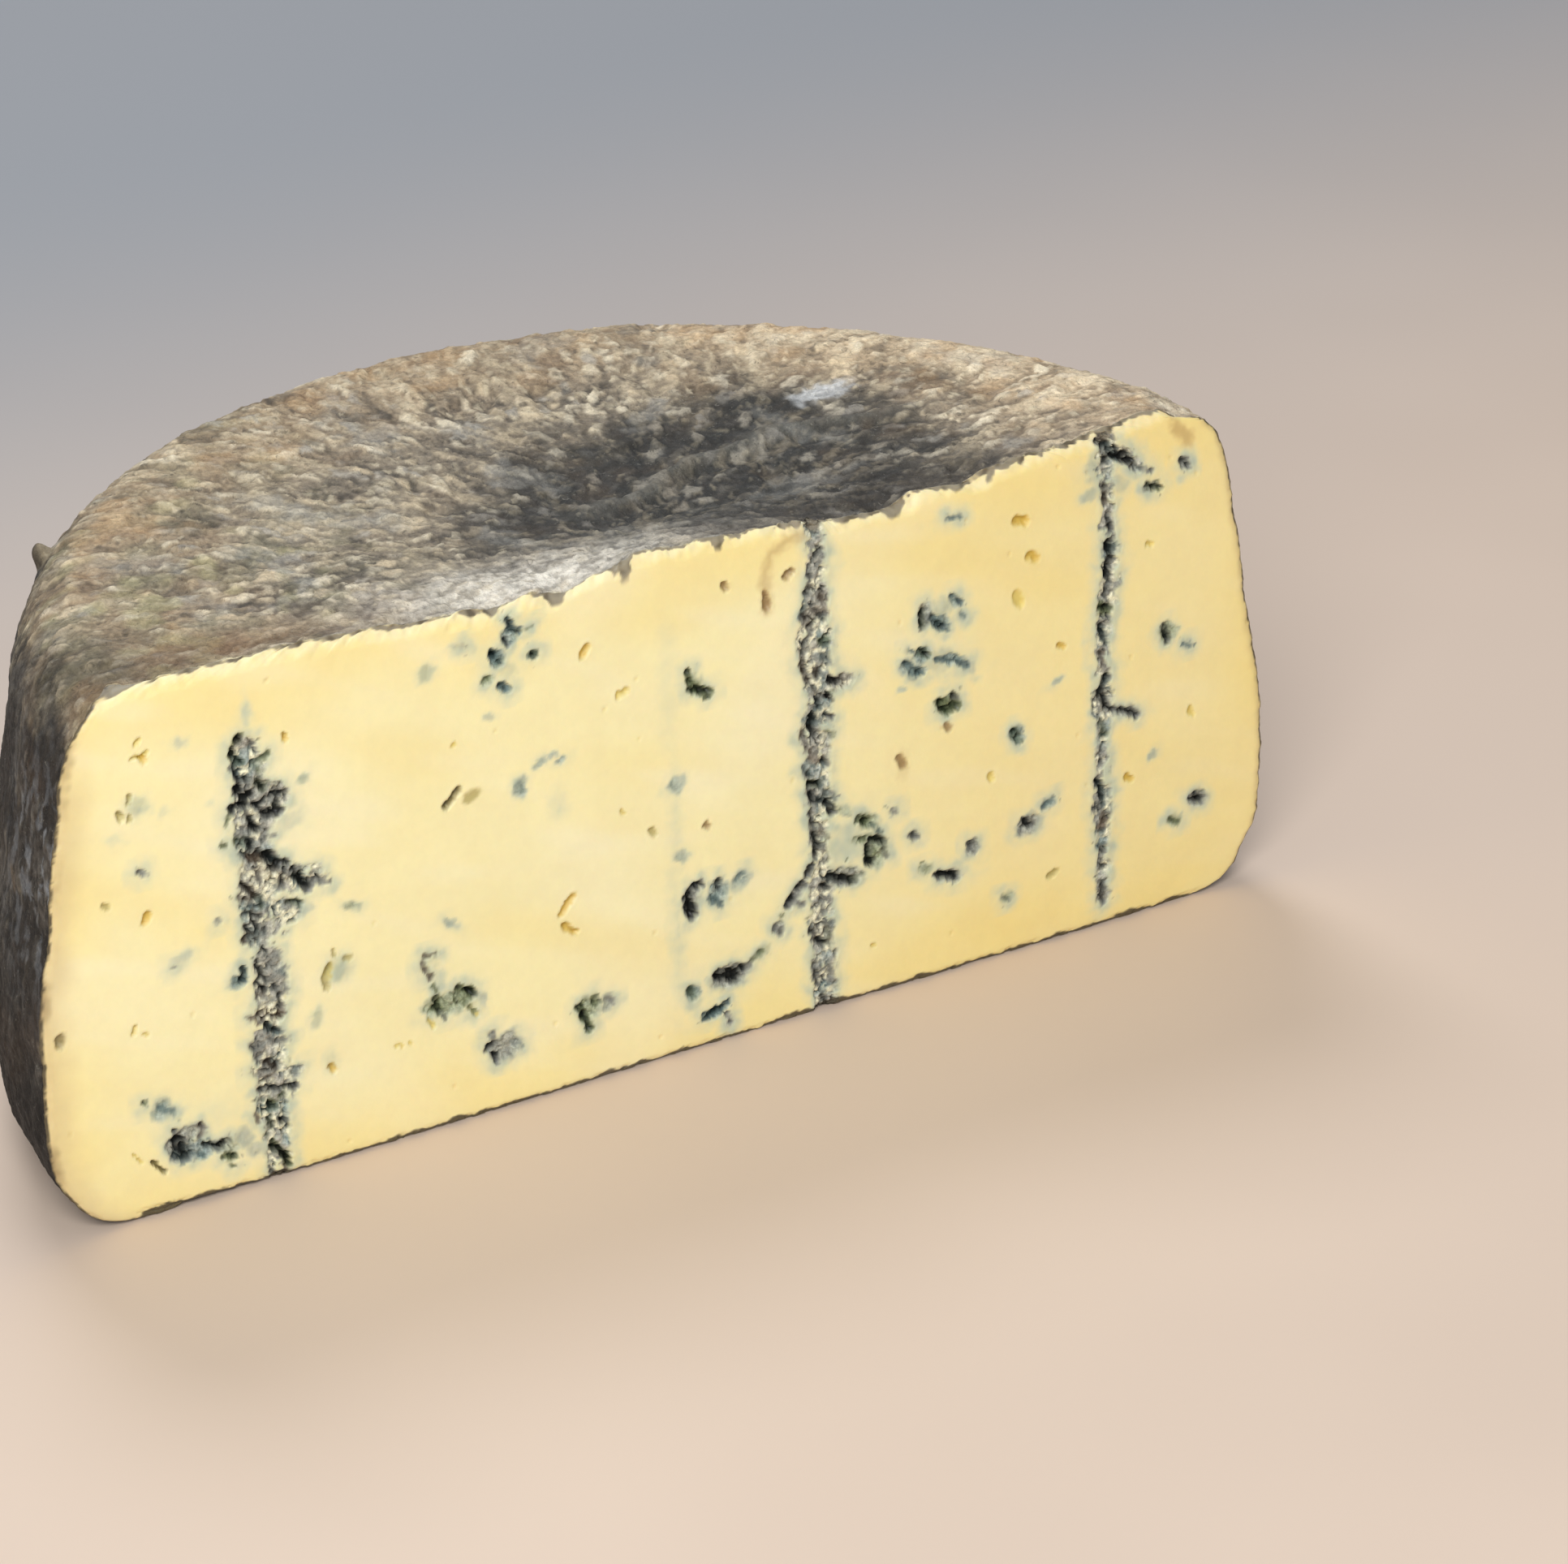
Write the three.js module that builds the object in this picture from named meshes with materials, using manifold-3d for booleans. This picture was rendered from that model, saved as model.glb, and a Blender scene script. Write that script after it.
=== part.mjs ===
// Half of a blue cheese wheel with a natural rind, cut straight down through
// its middle and resting on its flat base.
//
// Frame (millimetres): +Z up, base on z = 0, origin at the middle of the
// footprint's bounding box. The cut face looks towards -Y and runs along X;
// the round rind side is towards +Y.
//
// The wheel was moulded and ripened as one piece, and the rind is the dried
// outside of the same curd, so the half wheel is one solid.
import * as THREE from "three";
import { mergeVertices } from "three/addons/utils/BufferGeometryUtils.js";
import Module from "manifold-3d";

// ---- driving dimensions -------------------------------------------------
const WHEEL_RADIUS = 145.5; // widest radius, a little above the base
const WHEEL_HEIGHT = 116.3; // rim crest above the base
const BASE_RADIUS = 124; // flat resting face
const RIM_RADIUS = 117.5; // crest of the top rim
const DISH_DEPTH = 3.4; // how far the middle of the top has sunk
const CUT_OFFSET = 3.2; // cut plane past the wheel's axis
const TURN_STEPS = 120; // facets round the full wheel
const PROFILE_STEPS = 46; // facets along the profile

// ---- profile of the whole wheel -----------------------------------------
// Radius and height from the middle of the base, out and up the bulging side
// that leans in towards the top, over the shoulder and the rim crest, and
// down into the shallow dish.
const R = WHEEL_RADIUS;
const H = WHEEL_HEIGHT;
const OUTSIDE = [
  [BASE_RADIUS, 0],
  [133.0, 1.3],
  [138.6, 4.4],
  [142.4, 9.8],
  [144.7, 17.0],
  [R, 26.0],
  [145.2, 36.0],
  [144.1, 48.0],
  [142.3, 60.0],
  [140.2, 73.0],
  [138.2, 84.0],
  [136.7, 94.0],
  [135.2, 102.0],
  [132.9, 108.2],
  [129.0, 112.9],
  [124.0, 115.5],
  [RIM_RADIUS, H],
  [107.0, H - 0.15],
  [93.0, H - 0.6],
  [77.0, H - 1.3],
  [59.0, H - 2.1],
  [40.0, H - 2.8],
  [20.0, H - 3.2],
  [0, H - DISH_DEPTH],
];
const curve = new THREE.SplineCurve(
  OUTSIDE.map(([radius, z]) => new THREE.Vector2(radius, z)),
);
// The base starts on the axis, crosses its flat in two rings, then follows
// the curve back to the axis.
const profile = [new THREE.Vector2(0, 0), new THREE.Vector2(62, 0)];
for (let i = 0; i <= PROFILE_STEPS; i++) {
  const p = curve.getPoint(i / PROFILE_STEPS);
  profile.push(new THREE.Vector2(i === PROFILE_STEPS ? 0 : p.x, p.y));
}

// ---- slow irregularity --------------------------------------------------
// A ripened wheel is never quite round: its side leans and swells a little,
// its rim rises and falls, and its top has sunk unevenly.
const smooth = (a, b, t) => {
  const s = Math.min(1, Math.max(0, (t - a) / (b - a)));
  return s * s * (3 - 2 * s);
};
function sag(x, y) {
  // extra hollow a little behind the cut and to the right of the middle, and
  // a low crown at the middle of the cut, where the top has sunk less
  const hollow = Math.exp(-(((x - 22) / 62) ** 2) - ((y - 45) / 42) ** 2);
  const crown = Math.exp(
    -(((x - 5) / 27) ** 2) - ((y - CUT_OFFSET) / 26) ** 2,
  );
  return 2.8 * crown - 3.4 * hollow;
}
function shape(x, y, z) {
  const radius = Math.hypot(x, y);
  if (z <= 1e-6) return [x, y, z]; // the resting face stays flat
  const a = Math.atan2(y, x);
  const side = smooth(60, 135, radius) * smooth(0, 22, z);
  const out =
    side *
    (0.7 * Math.sin(2 * a + 0.9 + 0.012 * z) +
      0.5 * Math.sin(3 * a - 1.2 - 0.01 * z) +
      0.35 * Math.sin(5 * a + 2.1 + 0.02 * z));
  const k = radius > 1e-6 ? (radius + out) / radius : 1;
  const top = smooth(96, 112, z);
  const rim = smooth(70, 118, radius);
  const rise =
    top *
    (rim *
      (0.6 * Math.sin(2 * a - 0.4) +
        0.45 * Math.sin(3 * a + 1.9) +
        0.3 * Math.sin(6 * a + 0.5)) +
      (1 - smooth(85, 122, radius)) * sag(x, y));
  return [x * k, y * k, z + rise];
}

// ---- solids -------------------------------------------------------------
function bare(geometry) {
  geometry.deleteAttribute("normal");
  geometry.deleteAttribute("uv");
  return mergeVertices(geometry, 1e-4);
}
const wasm = await Module();
wasm.setup();
function solid(geometry) {
  const g = bare(geometry);
  return new wasm.Manifold(
    new wasm.Mesh({
      numProp: 3,
      vertProperties: new Float32Array(g.attributes.position.array),
      triVerts: new Uint32Array(g.index.array),
    }),
  );
}

// The whole wheel: the profile turned about its axis, stood up on +Z, with
// its slow irregularity added. Its seam is turned to the side cut away.
const wheel = new THREE.LatheGeometry(
  profile,
  TURN_STEPS,
  Math.PI / TURN_STEPS,
);
wheel.rotateX(Math.PI / 2);
const at = wheel.attributes.position;
for (let i = 0; i < at.count; i++) {
  const [x, y, z] = shape(at.getX(i), at.getY(i), at.getZ(i));
  at.setXYZ(i, x, y, z);
}

// The knife takes away everything in front of the cut plane.
const away = new THREE.BoxGeometry(4 * R, 2 * R, 3 * H);
away.translate(0, CUT_OFFSET - R, H / 2);
const half = solid(wheel).subtract(solid(away));

// ---- back to a mesh, centred on its footprint ----------------------------
const cut = half.getMesh();
const stride = cut.numProp;
const places = new Float32Array(cut.numVert * 3);
for (let i = 0; i < cut.numVert; i++)
  places.set(
    cut.vertProperties.subarray(i * stride, i * stride + 3),
    i * 3,
  );
const geometry = new THREE.BufferGeometry()
  .setAttribute("position", new THREE.BufferAttribute(places, 3))
  .setIndex(new THREE.BufferAttribute(new Uint32Array(cut.triVerts), 1));
geometry.computeBoundingBox();
const box = geometry.boundingBox;
geometry.translate(
  -(box.min.x + box.max.x) / 2,
  -(box.min.y + box.max.y) / 2,
  -box.min.z,
);
geometry.computeVertexNormals();

const halfWheel = new THREE.Mesh(
  geometry,
  new THREE.MeshStandardMaterial({
    color: new THREE.Color(0.9, 0.8, 0.55),
    roughness: 0.5,
    metalness: 0,
  }),
);
halfWheel.name = "cheese_half_wheel";

const part = new THREE.Group();
part.add(halfWheel);

export default part;
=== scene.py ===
import math

import bpy
import numpy as np
from mathutils import Matrix, Vector
from mathutils.geometry import delaunay_2d_cdt


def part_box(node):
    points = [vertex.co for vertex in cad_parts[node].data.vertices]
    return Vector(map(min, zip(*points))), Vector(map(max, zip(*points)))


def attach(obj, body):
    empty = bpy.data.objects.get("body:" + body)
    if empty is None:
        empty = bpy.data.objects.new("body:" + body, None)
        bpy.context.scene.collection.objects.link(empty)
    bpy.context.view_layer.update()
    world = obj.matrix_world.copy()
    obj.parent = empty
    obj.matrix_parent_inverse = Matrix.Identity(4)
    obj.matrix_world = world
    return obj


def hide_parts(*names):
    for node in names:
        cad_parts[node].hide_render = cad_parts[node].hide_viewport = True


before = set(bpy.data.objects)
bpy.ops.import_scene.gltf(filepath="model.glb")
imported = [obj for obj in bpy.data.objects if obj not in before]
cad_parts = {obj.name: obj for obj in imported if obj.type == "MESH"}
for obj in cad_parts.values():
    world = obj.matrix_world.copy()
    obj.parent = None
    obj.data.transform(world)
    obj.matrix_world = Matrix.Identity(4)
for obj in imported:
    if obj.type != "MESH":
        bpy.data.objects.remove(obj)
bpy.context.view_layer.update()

# ---------------------------------------------------------------- noise
def _mix(n):
    n ^= n >> np.uint32(16)
    n *= np.uint32(0x7FEB352D)
    n ^= n >> np.uint32(15)
    n *= np.uint32(0x846CA68B)
    n ^= n >> np.uint32(16)
    return n


def _cell(ix, iy, iz, seed):
    """One well mixed 32-bit number for each integer cell."""
    n = ix.astype(np.uint32) * np.uint32(0x8DA6B343)
    n ^= iy.astype(np.uint32) * np.uint32(0xD8163841)
    n ^= iz.astype(np.uint32) * np.uint32(0xCB1AB31F)
    n ^= np.uint32((seed * 0x9E3779B1) & 0xFFFFFFFF)
    return _mix(n)


def _unit(n):
    return (n >> np.uint32(8)).astype(np.float32) * np.float32(1.0 / 16777216.0)


_DIRS = np.random.RandomState(7).normal(size=(256, 3)).astype(np.float32)
_DIRS /= np.linalg.norm(_DIRS, axis=1)[:, None]


def noise(p, scale, seed):
    """Gradient noise, about -1 to 1, with features of about scale millimetres."""
    q = (p / np.float32(scale)).astype(np.float32) + np.float32(1000.0)
    i = np.floor(q)
    f = q - i
    i = i.astype(np.int32)
    w = f * f * f * (f * (f * 6 - 15) + 10)
    out = np.zeros(len(q), np.float32)
    for dx in (0, 1):
        for dy in (0, 1):
            for dz in (0, 1):
                g = _DIRS[
                    _cell(i[:, 0] + dx, i[:, 1] + dy, i[:, 2] + dz, seed) & np.uint32(255)
                ]
                d = (
                    g[:, 0] * (f[:, 0] - dx)
                    + g[:, 1] * (f[:, 1] - dy)
                    + g[:, 2] * (f[:, 2] - dz)
                )
                d *= w[:, 0] if dx else 1 - w[:, 0]
                d *= w[:, 1] if dy else 1 - w[:, 1]
                d *= w[:, 2] if dz else 1 - w[:, 2]
                out += d
    return out * np.float32(1.6)


def fbm(p, scale, octaves, seed, gain=0.5):
    out, amp, total = 0, 1.0, 0.0
    for k in range(octaves):
        out = out + amp * noise(p, scale / 2.03**k, seed + 31 * k)
        total += amp
        amp *= gain
    return out / total


def grains(p, scale, seed, along=None, stretch=1.0, flat=False, jitter=1.0):
    """Cell noise: distance to the nearest and second nearest grain centre, in cells, and three random
    numbers of the nearest grain. along is a unit direction for each point that the grains lie along."""
    q = (p / np.float32(scale)).astype(np.float32) + np.float32(1000.0)
    i = np.floor(q).astype(np.int32)
    n = len(q)
    f1 = np.full(n, 9.0, np.float32)
    f2 = np.full(n, 9.0, np.float32)
    ident = np.zeros(n, np.uint32)
    squeeze = np.float32(1.0 - 1.0 / (stretch * stretch))
    for dx in (-1, 0, 1):
        for dy in (-1, 0, 1):
            for dz in (0,) if flat else (-1, 0, 1):
                cx, cy, cz = i[:, 0] + dx, i[:, 1] + dy, i[:, 2] + dz
                h = _cell(cx, cy, cz, seed)
                a = _unit(h) * jitter + (1 - jitter) / 2
                b = _unit(_mix(h + np.uint32(0x68BC21EB))) * jitter + (1 - jitter) / 2
                vx = cx + a - q[:, 0]
                vy = cy + b - q[:, 1]
                if flat:
                    d = vx * vx + vy * vy
                    if along is not None:
                        d -= squeeze * (vx * along[:, 0] + vy * along[:, 1]) ** 2
                else:
                    c = _unit(_mix(h + np.uint32(0x02E5BE93))) * jitter + (1 - jitter) / 2
                    vz = cz + c - q[:, 2]
                    d = vx * vx + vy * vy + vz * vz
                    if along is not None:
                        d -= (
                            squeeze
                            * (vx * along[:, 0] + vy * along[:, 1] + vz * along[:, 2]) ** 2
                        )
                near = d < f1
                f2 = np.where(near, f1, np.minimum(f2, d))
                ident = np.where(near, h, ident)
                f1 = np.where(near, d, f1)
    r1 = _unit(_mix(ident + np.uint32(0x1234567)))
    r2 = _unit(_mix(ident + np.uint32(0x2345671)))
    r3 = _unit(_mix(ident + np.uint32(0x3456712)))
    return np.sqrt(f1), np.sqrt(f2), r1, r2, r3


def ramp(a, b, t):
    s = np.clip((t - a) / (b - a), 0.0, 1.0)
    return s * s * (3 - 2 * s)


def lerp(a, b, t):
    return a + (b - a) * t


# ---------------------------------------------------------------- the wheel's shape, as in the CAD part
R, H = 145.5, 116.3
CUT = 3.2  # cut plane past the wheel's axis
OUTSIDE = np.array(
    [
        (124.0, 0), (133.0, 1.3), (138.6, 4.4), (142.4, 9.8), (144.7, 17.0), (R, 26.0), (145.2, 36.0),
        (144.1, 48.0), (142.3, 60.0), (140.2, 73.0), (138.2, 84.0), (136.7, 94.0), (135.2, 102.0),
        (132.9, 108.2), (129.0, 112.9), (124.0, 115.5), (117.5, H), (107.0, H - 0.15), (93.0, H - 0.6),
        (77.0, H - 1.3), (59.0, H - 2.1), (40.0, H - 2.8), (20.0, H - 3.2), (0, H - 3.4),
    ]
)
RIM_AT = 16  # the control point at the rim's crest


def spline(t):
    """The uniform Catmull-Rom curve through OUTSIDE at t from 0 to 1."""
    n = len(OUTSIDE)
    p = np.asarray(t) * (n - 1)
    i = np.minimum(np.floor(p).astype(int), n - 1)
    w = (p - i)[:, None]
    p0 = OUTSIDE[np.where(i == 0, i, i - 1)]
    p1 = OUTSIDE[i]
    p2 = OUTSIDE[np.where(i > n - 2, n - 1, i + 1)]
    p3 = OUTSIDE[np.where(i > n - 3, n - 1, i + 2)]
    v0, v1 = (p2 - p0) * 0.5, (p3 - p1) * 0.5
    return (2 * p1 - 2 * p2 + v0 + v1) * w**3 + (-3 * p1 + 3 * p2 - 2 * v0 - v1) * w**2 + v0 * w + p1


def sag(x, y):
    return -3.4 * np.exp(-(((x - 22) / 62) ** 2) - ((y - 45) / 42) ** 2) + 2.8 * np.exp(
        -(((x - 5) / 27) ** 2) - ((y - 3.2) / 26) ** 2
    )


def lean(a, z, radius):
    side = ramp(60, 135, radius) * ramp(0, 22, z)
    return side * (
        0.7 * np.sin(2 * a + 0.9 + 0.012 * z)
        + 0.5 * np.sin(3 * a - 1.2 - 0.01 * z)
        + 0.35 * np.sin(5 * a + 2.1 + 0.02 * z)
    )


def rise(a, x, y, z, radius):
    return ramp(96, 112, z) * (
        ramp(70, 118, radius)
        * (0.6 * np.sin(2 * a - 0.4) + 0.45 * np.sin(3 * a + 1.9) + 0.3 * np.sin(6 * a + 0.5))
        + (1 - ramp(85, 122, radius)) * sag(x, y)
    )


_dense = spline(np.linspace(0, 1, 4001))
_top = _dense[int(4000 * RIM_AT / (len(OUTSIDE) - 1)) :][::-1]


def top_height(x, y):
    """Height of the wheel's top at a point inside the rim."""
    radius = np.hypot(x, y)
    a = np.arctan2(y, x)
    r0 = radius - lean(a, np.full_like(radius, 114.0), radius)
    z0 = np.interp(r0, _top[:, 0], _top[:, 1])
    return z0 + rise(a, r0 * np.cos(a), r0 * np.sin(a), z0, r0)
# ---------------------------------------------------------------- what shows on the cut face
# All in millimetres on the cut face: x along the cut from the wheel's middle, z above the base.
# Crumbly mould channels left by the piercing needles: (x, z, half width) down each one.
CHANNELS = [
    [
        (-98.6, 98.6, 1.0), (-98.2, 95.5, 2.8), (-97.6, 92.0, 3.2), (-97.6, 88.5, 3.4), (-97.0, 84.8, 4.6),
        (-96.8, 81.0, 3.8), (-98.0, 77.4, 3.6), (-98.0, 73.6, 3.4), (-97.4, 70.0, 3.8), (-97.2, 66.4, 4.2),
        (-97.6, 62.6, 3.6), (-97.6, 59.0, 3.6), (-97.8, 56.0, 3.2), (-97.4, 53.0, 1.2), (-96.4, 50.6, 2.6),
        (-96.4, 47.0, 3.3), (-96.2, 43.0, 3.2), (-96.6, 39.0, 3.0), (-97.4, 34.8, 3.2), (-97.4, 30.6, 3.4),
        (-97.6, 26.6, 3.4), (-96.8, 22.0, 3.6), (-97.4, 17.6, 3.6), (-96.8, 13.2, 3.0), (-96.8, 9.0, 2.7),
        (-96.6, 5.0, 2.7), (-96.8, 1.0, 2.4),
    ],
    [(-93.5, 69.0, 2.8), (-90.6, 66.6, 3.0), (-87.0, 65.4, 2.8), (-83.6, 64.6, 1.6)],
    [(-94.6, 86.4, 2.4), (-92.6, 84.6, 2.8), (-93.0, 82.4, 2.0)],
    [(-92.6, 60.0, 2.6), (-91.0, 58.6, 2.4), (-93.4, 56.8, 1.6)],
    [(-95.0, 23.0, 2.2), (-92.4, 22.6, 1.6), (-91.0, 24.0, 0.8)],
    [
        (31.4, 113.4, 2.4), (31.2, 109.0, 1.8), (32.0, 104.6, 2.1), (31.6, 100.0, 2.7), (31.4, 95.6, 3.0),
        (30.8, 91.0, 3.3), (31.0, 87.0, 3.9), (31.0, 82.6, 4.0), (31.4, 78.6, 3.2), (32.0, 74.6, 2.7),
        (31.6, 70.0, 3.2), (31.0, 66.0, 3.6), (31.2, 62.0, 2.9), (31.0, 57.6, 3.2), (31.0, 53.0, 2.8),
        (32.0, 48.6, 3.4), (31.4, 44.4, 2.4), (31.2, 40.0, 2.0), (31.6, 35.6, 2.4), (31.8, 31.0, 3.0),
        (31.8, 26.6, 2.6), (31.8, 22.0, 2.7), (31.8, 17.0, 2.7), (32.2, 12.0, 2.6), (32.4, 7.0, 2.7),
        (32.6, 1.0, 2.3),
    ],
    [(34.6, 76.2, 1.6), (37.6, 75.6, 2.0), (39.4, 75.8, 1.2)],
    [(103.4, 114.2, 2.6), (103.4, 110.0, 2.4), (103.4, 105.6, 1.4), (103.6, 101.0, 1.4), (103.8, 96.0, 1.5),
        (104.2, 91.0, 1.7), (104.6, 86.0, 2.2), (104.4, 81.0, 2.1), (103.4, 76.6, 2.2), (102.8, 72.0, 1.9),
        (102.8, 67.0, 1.5), (103.0, 61.0, 1.8), (103.2, 55.0, 2.4), (103.0, 49.0, 2.0), (102.8, 43.0, 1.4),
        (102.8, 37.0, 1.7), (103.0, 31.0, 2.5), (103.2, 25.0, 2.2), (103.2, 19.0, 1.5), (103.2, 12.0, 1.6),
        (103.4, 6.0, 1.4)],
    [(104.6, 111.4, 2.2), (108.6, 109.4, 1.7), (112.0, 106.4, 0.8)],
]
# Soft patches of mould and mouldy curd: (x, z, half width, half height, turn in degrees, strength, tone) with tone
# n neutral, g olive green, b blue-grey, w whey brown. Crumbly where strong, a stain where weak.
PATCHES = [
    (-118.0, 14.2, 3.4, 4.2, 10, 0.9, "n"), (-113.8, 12.2, 3.6, 2.4, -20, 0.8, "b"), (-109.4, 11.8, 2.8, 1.8, 0, 0.8, "n"),
    (-115.6, 16.8, 3.6, 2.4, 0, 0.6, "n"), (-107.0, 9.2, 2.2, 2.6, 0, 0.55, "g"), (-104.4, 11.8, 3.2, 3.2, 0, 0.45, "n"),
    (-102.0, 8.6, 2.6, 2.4, 0, 0.42, "n"), (-121.6, 23.8, 2.8, 3.6, 15, 0.52, "b"), (-103.4, 47.2, 2.6, 2.0, 10, 0.6, "b"),
    (-121.6, 90.4, 3.2, 3.0, 0, 0.34, "g"), (-114.6, 55.6, 4.0, 1.8, 18, 0.36, "n"), (-88.6, 59.0, 2.6, 2.4, 0, 0.45, "b"),
    (-90.6, 78.6, 5.0, 3.0, 10, 0.34, "n"), (-86.4, 86.8, 2.4, 1.4, 20, 0.42, "g"), (-84.4, 66.2, 1.8, 1.4, 0, 0.6, "n"),
    (-56.0, 28.2, 6.0, 3.2, 5, 0.66, "g"), (-61.6, 28.2, 1.8, 3.0, 0, 0.55, "g"), (-60.0, 38.6, 2.2, 3.0, 15, 0.3, "g"),
    (-49.4, 27.0, 1.6, 3.2, 20, 0.4, "n"), (-44.6, 14.6, 4.6, 4.2, -20, 0.66, "n"), (-25.0, 17.4, 3.6, 4.6, 0, 0.58, "g"),
    (-20.4, 17.6, 2.4, 3.0, 0, 0.5, "n"), (-81.4, 43.6, 4.2, 4.2, 0, 0.34, "g"), (-86.8, 34.0, 1.7, 3.2, -20, 0.38, "g"),
    (-84.2, 23.0, 2.0, 3.4, 0, 0.28, "g"), (-77.4, 56.4, 2.8, 1.4, -25, 0.5, "g"), (-55.8, 46.4, 3.2, 1.2, -38, 0.46, "b"),
    (-39.6, 105.6, 2.6, 2.6, -40, 0.62, "b"), (-42.2, 101.6, 2.2, 2.2, 30, 0.68, "b"), (-41.0, 94.8, 2.0, 1.5, -15, 0.66, "b"),
    (-45.0, 97.4, 1.5, 1.2, 10, 0.58, "g"), (-34.4, 100.4, 1.7, 1.4, -20, 0.6, "b"), (-40.4, 98.6, 3.4, 2.4, 0, 0.3, "g"),
    (-58.2, 102.4, 2.8, 2.2, 20, 0.40, "g"), (-51.0, 106.4, 2.4, 1.6, -25, 0.40, "n"), (-44.8, 89.2, 1.6, 1.1, 0, 0.36, "n"),
    (-34.0, 76.2, 2.0, 1.4, 40, 0.48, "b"), (-31.2, 77.2, 2.2, 1.0, -10, 0.44, "b"), (-29.0, 75.4, 1.8, 1.3, 20, 0.5, "b"),
    (-38.6, 71.8, 2.0, 2.8, 5, 0.52, "b"), (-30.0, 66.0, 2.6, 4.0, 0, 0.22, "g"), (-2.8, 62.8, 2.8, 2.6, 45, 0.48, "b"),
    (-1.8, 46.4, 2.4, 1.8, -10, 0.44, "b"), (0.4, 35.6, 2.4, 4.4, 0, 0.7, "n"), (6.6, 35.6, 3.4, 3.6, 0, 0.62, "b"),
    (12.2, 37.0, 3.6, 2.6, 35, 0.5, "b"), (9.2, 15.0, 5.4, 3.2, 4, 0.8, "n"), (-0.4, 13.8, 2.2, 2.4, 0, 0.6, "b"),
    (17.0, 18.6, 3.2, 1.8, 35, 0.45, "g"), (5.6, 7.6, 3.6, 1.5, 12, 0.66, "b"), (8.6, 4.6, 1.2, 2.0, 0, 0.5, "n"),
    (21.0, 22.8, 2.2, 1.8, -40, 0.62, "n"), (26.0, 30.0, 3.6, 2.0, 50, 0.7, "n"), (2.6, 84.0, 3.4, 2.0, -45, 0.6, "g"),
    (37.0, 30.4, 5.4, 3.0, -8, 0.8, "n"), (45.4, 34.0, 3.4, 4.4, 0, 0.72, "g"), (43.6, 41.8, 3.4, 2.4, -15, 0.62, "g"),
    (37.6, 46.0, 4.0, 1.8, -35, 0.46, "g"), (42.0, 38.0, 4.4, 1.6, -5, 0.5, "g"), (38.0, 38.0, 8.0, 8.0, 0, 0.24, "g"),
    (49.8, 42.4, 1.6, 1.4, 0, 0.45, "n"), (54.8, 35.2, 2.0, 1.9, 0, 0.58, "n"),
    (58.0, 85.4, 2.2, 3.2, 0, 0.72, "n"), (61.4, 83.2, 3.0, 2.4, -35, 0.62, "b"), (65.6, 87.0, 2.4, 1.8, -45, 0.5, "b"),
    (62.0, 86.6, 4.4, 3.2, 0, 0.38, "b"), (67.0, 83.4, 1.6, 1.8, 0, 0.38, "b"),
    (57.2, 76.6, 3.0, 2.6, 20, 0.62, "b"), (53.2, 75.0, 2.4, 2.6, 0, 0.55, "b"), (56.4, 73.0, 3.0, 1.8, 0, 0.6, "b"),
    (64.6, 73.8, 4.8, 1.5, -20, 0.58, "b"), (60.0, 75.0, 9.0, 4.0, -8, 0.36, "b"), (52.0, 70.2, 1.8, 1.2, 0, 0.4, "b"),
    (68.8, 71.0, 2.0, 2.4, 20, 0.4, "b"), (63.6, 63.4, 3.0, 2.8, 0, 0.74, "g"), (70.0, 68.2, 2.0, 1.4, -30, 0.28, "g"),
    (57.4, 26.6, 2.4, 2.0, 0, 0.5, "g"), (64.0, 23.2, 3.4, 1.8, -12, 0.82, "n"), (69.6, 28.6, 2.2, 2.4, 0, 0.6, "n"),
    (65.0, 106.2, 3.4, 1.0, -4, 0.42, "b"), (114.8, 101.2, 2.8, 1.5, -15, 0.68, "n"), (123.4, 104.6, 1.7, 1.8, -35, 0.62, "n"),
    (98.6, 103.0, 3.0, 2.0, 10, 0.40, "b"), (106.0, 104.0, 5.0, 3.0, -15, 0.34, "b"), (99.6, 109.0, 2.4, 5.0, 0, 0.38, "b"),
    (-121.6, 76.4, 1.9, 1.2, -30, 0.5, "n"), (-106.2, 61.4, 1.5, 1.1, 0, 0.44, "n"), (-116.0, 87.6, 1.8, 1.4, 0, 0.26, "g"),
    (-112.0, 101.4, 2.0, 1.4, 0, 0.34, "n"), (-127.0, 84.6, 2.6, 1.3, -20, 0.26, "n"), (-106.4, 87.0, 1.6, 1.0, 0, 0.24, "n"),
    # beyond where another piece of the wheel stood in front
    (84.0, 30.0, 4.2, 3.0, 15, 0.66, "n"), (89.0, 33.6, 3.0, 2.0, 0, 0.5, "b"), (80.6, 52.0, 2.4, 2.8, 0, 0.6, "b"),
    (119.6, 66.0, 2.8, 3.2, 20, 0.66, "g"), (124.6, 62.0, 2.4, 1.8, 0, 0.45, "b"), (128.4, 24.0, 3.4, 2.4, -20, 0.7, "n"),
    (122.0, 20.4, 2.8, 2.0, 0, 0.5, "g"), (109.6, 50.0, 4.0, 2.0, -20, 0.62, "n"), (91.0, 62.0, 2.6, 1.2, 25, 0.42, "b"),
    (78.0, 14.0, 2.6, 1.8, 0, 0.48, "g"), (116.0, 38.0, 2.0, 1.4, 30, 0.44, "b"),
]
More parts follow.
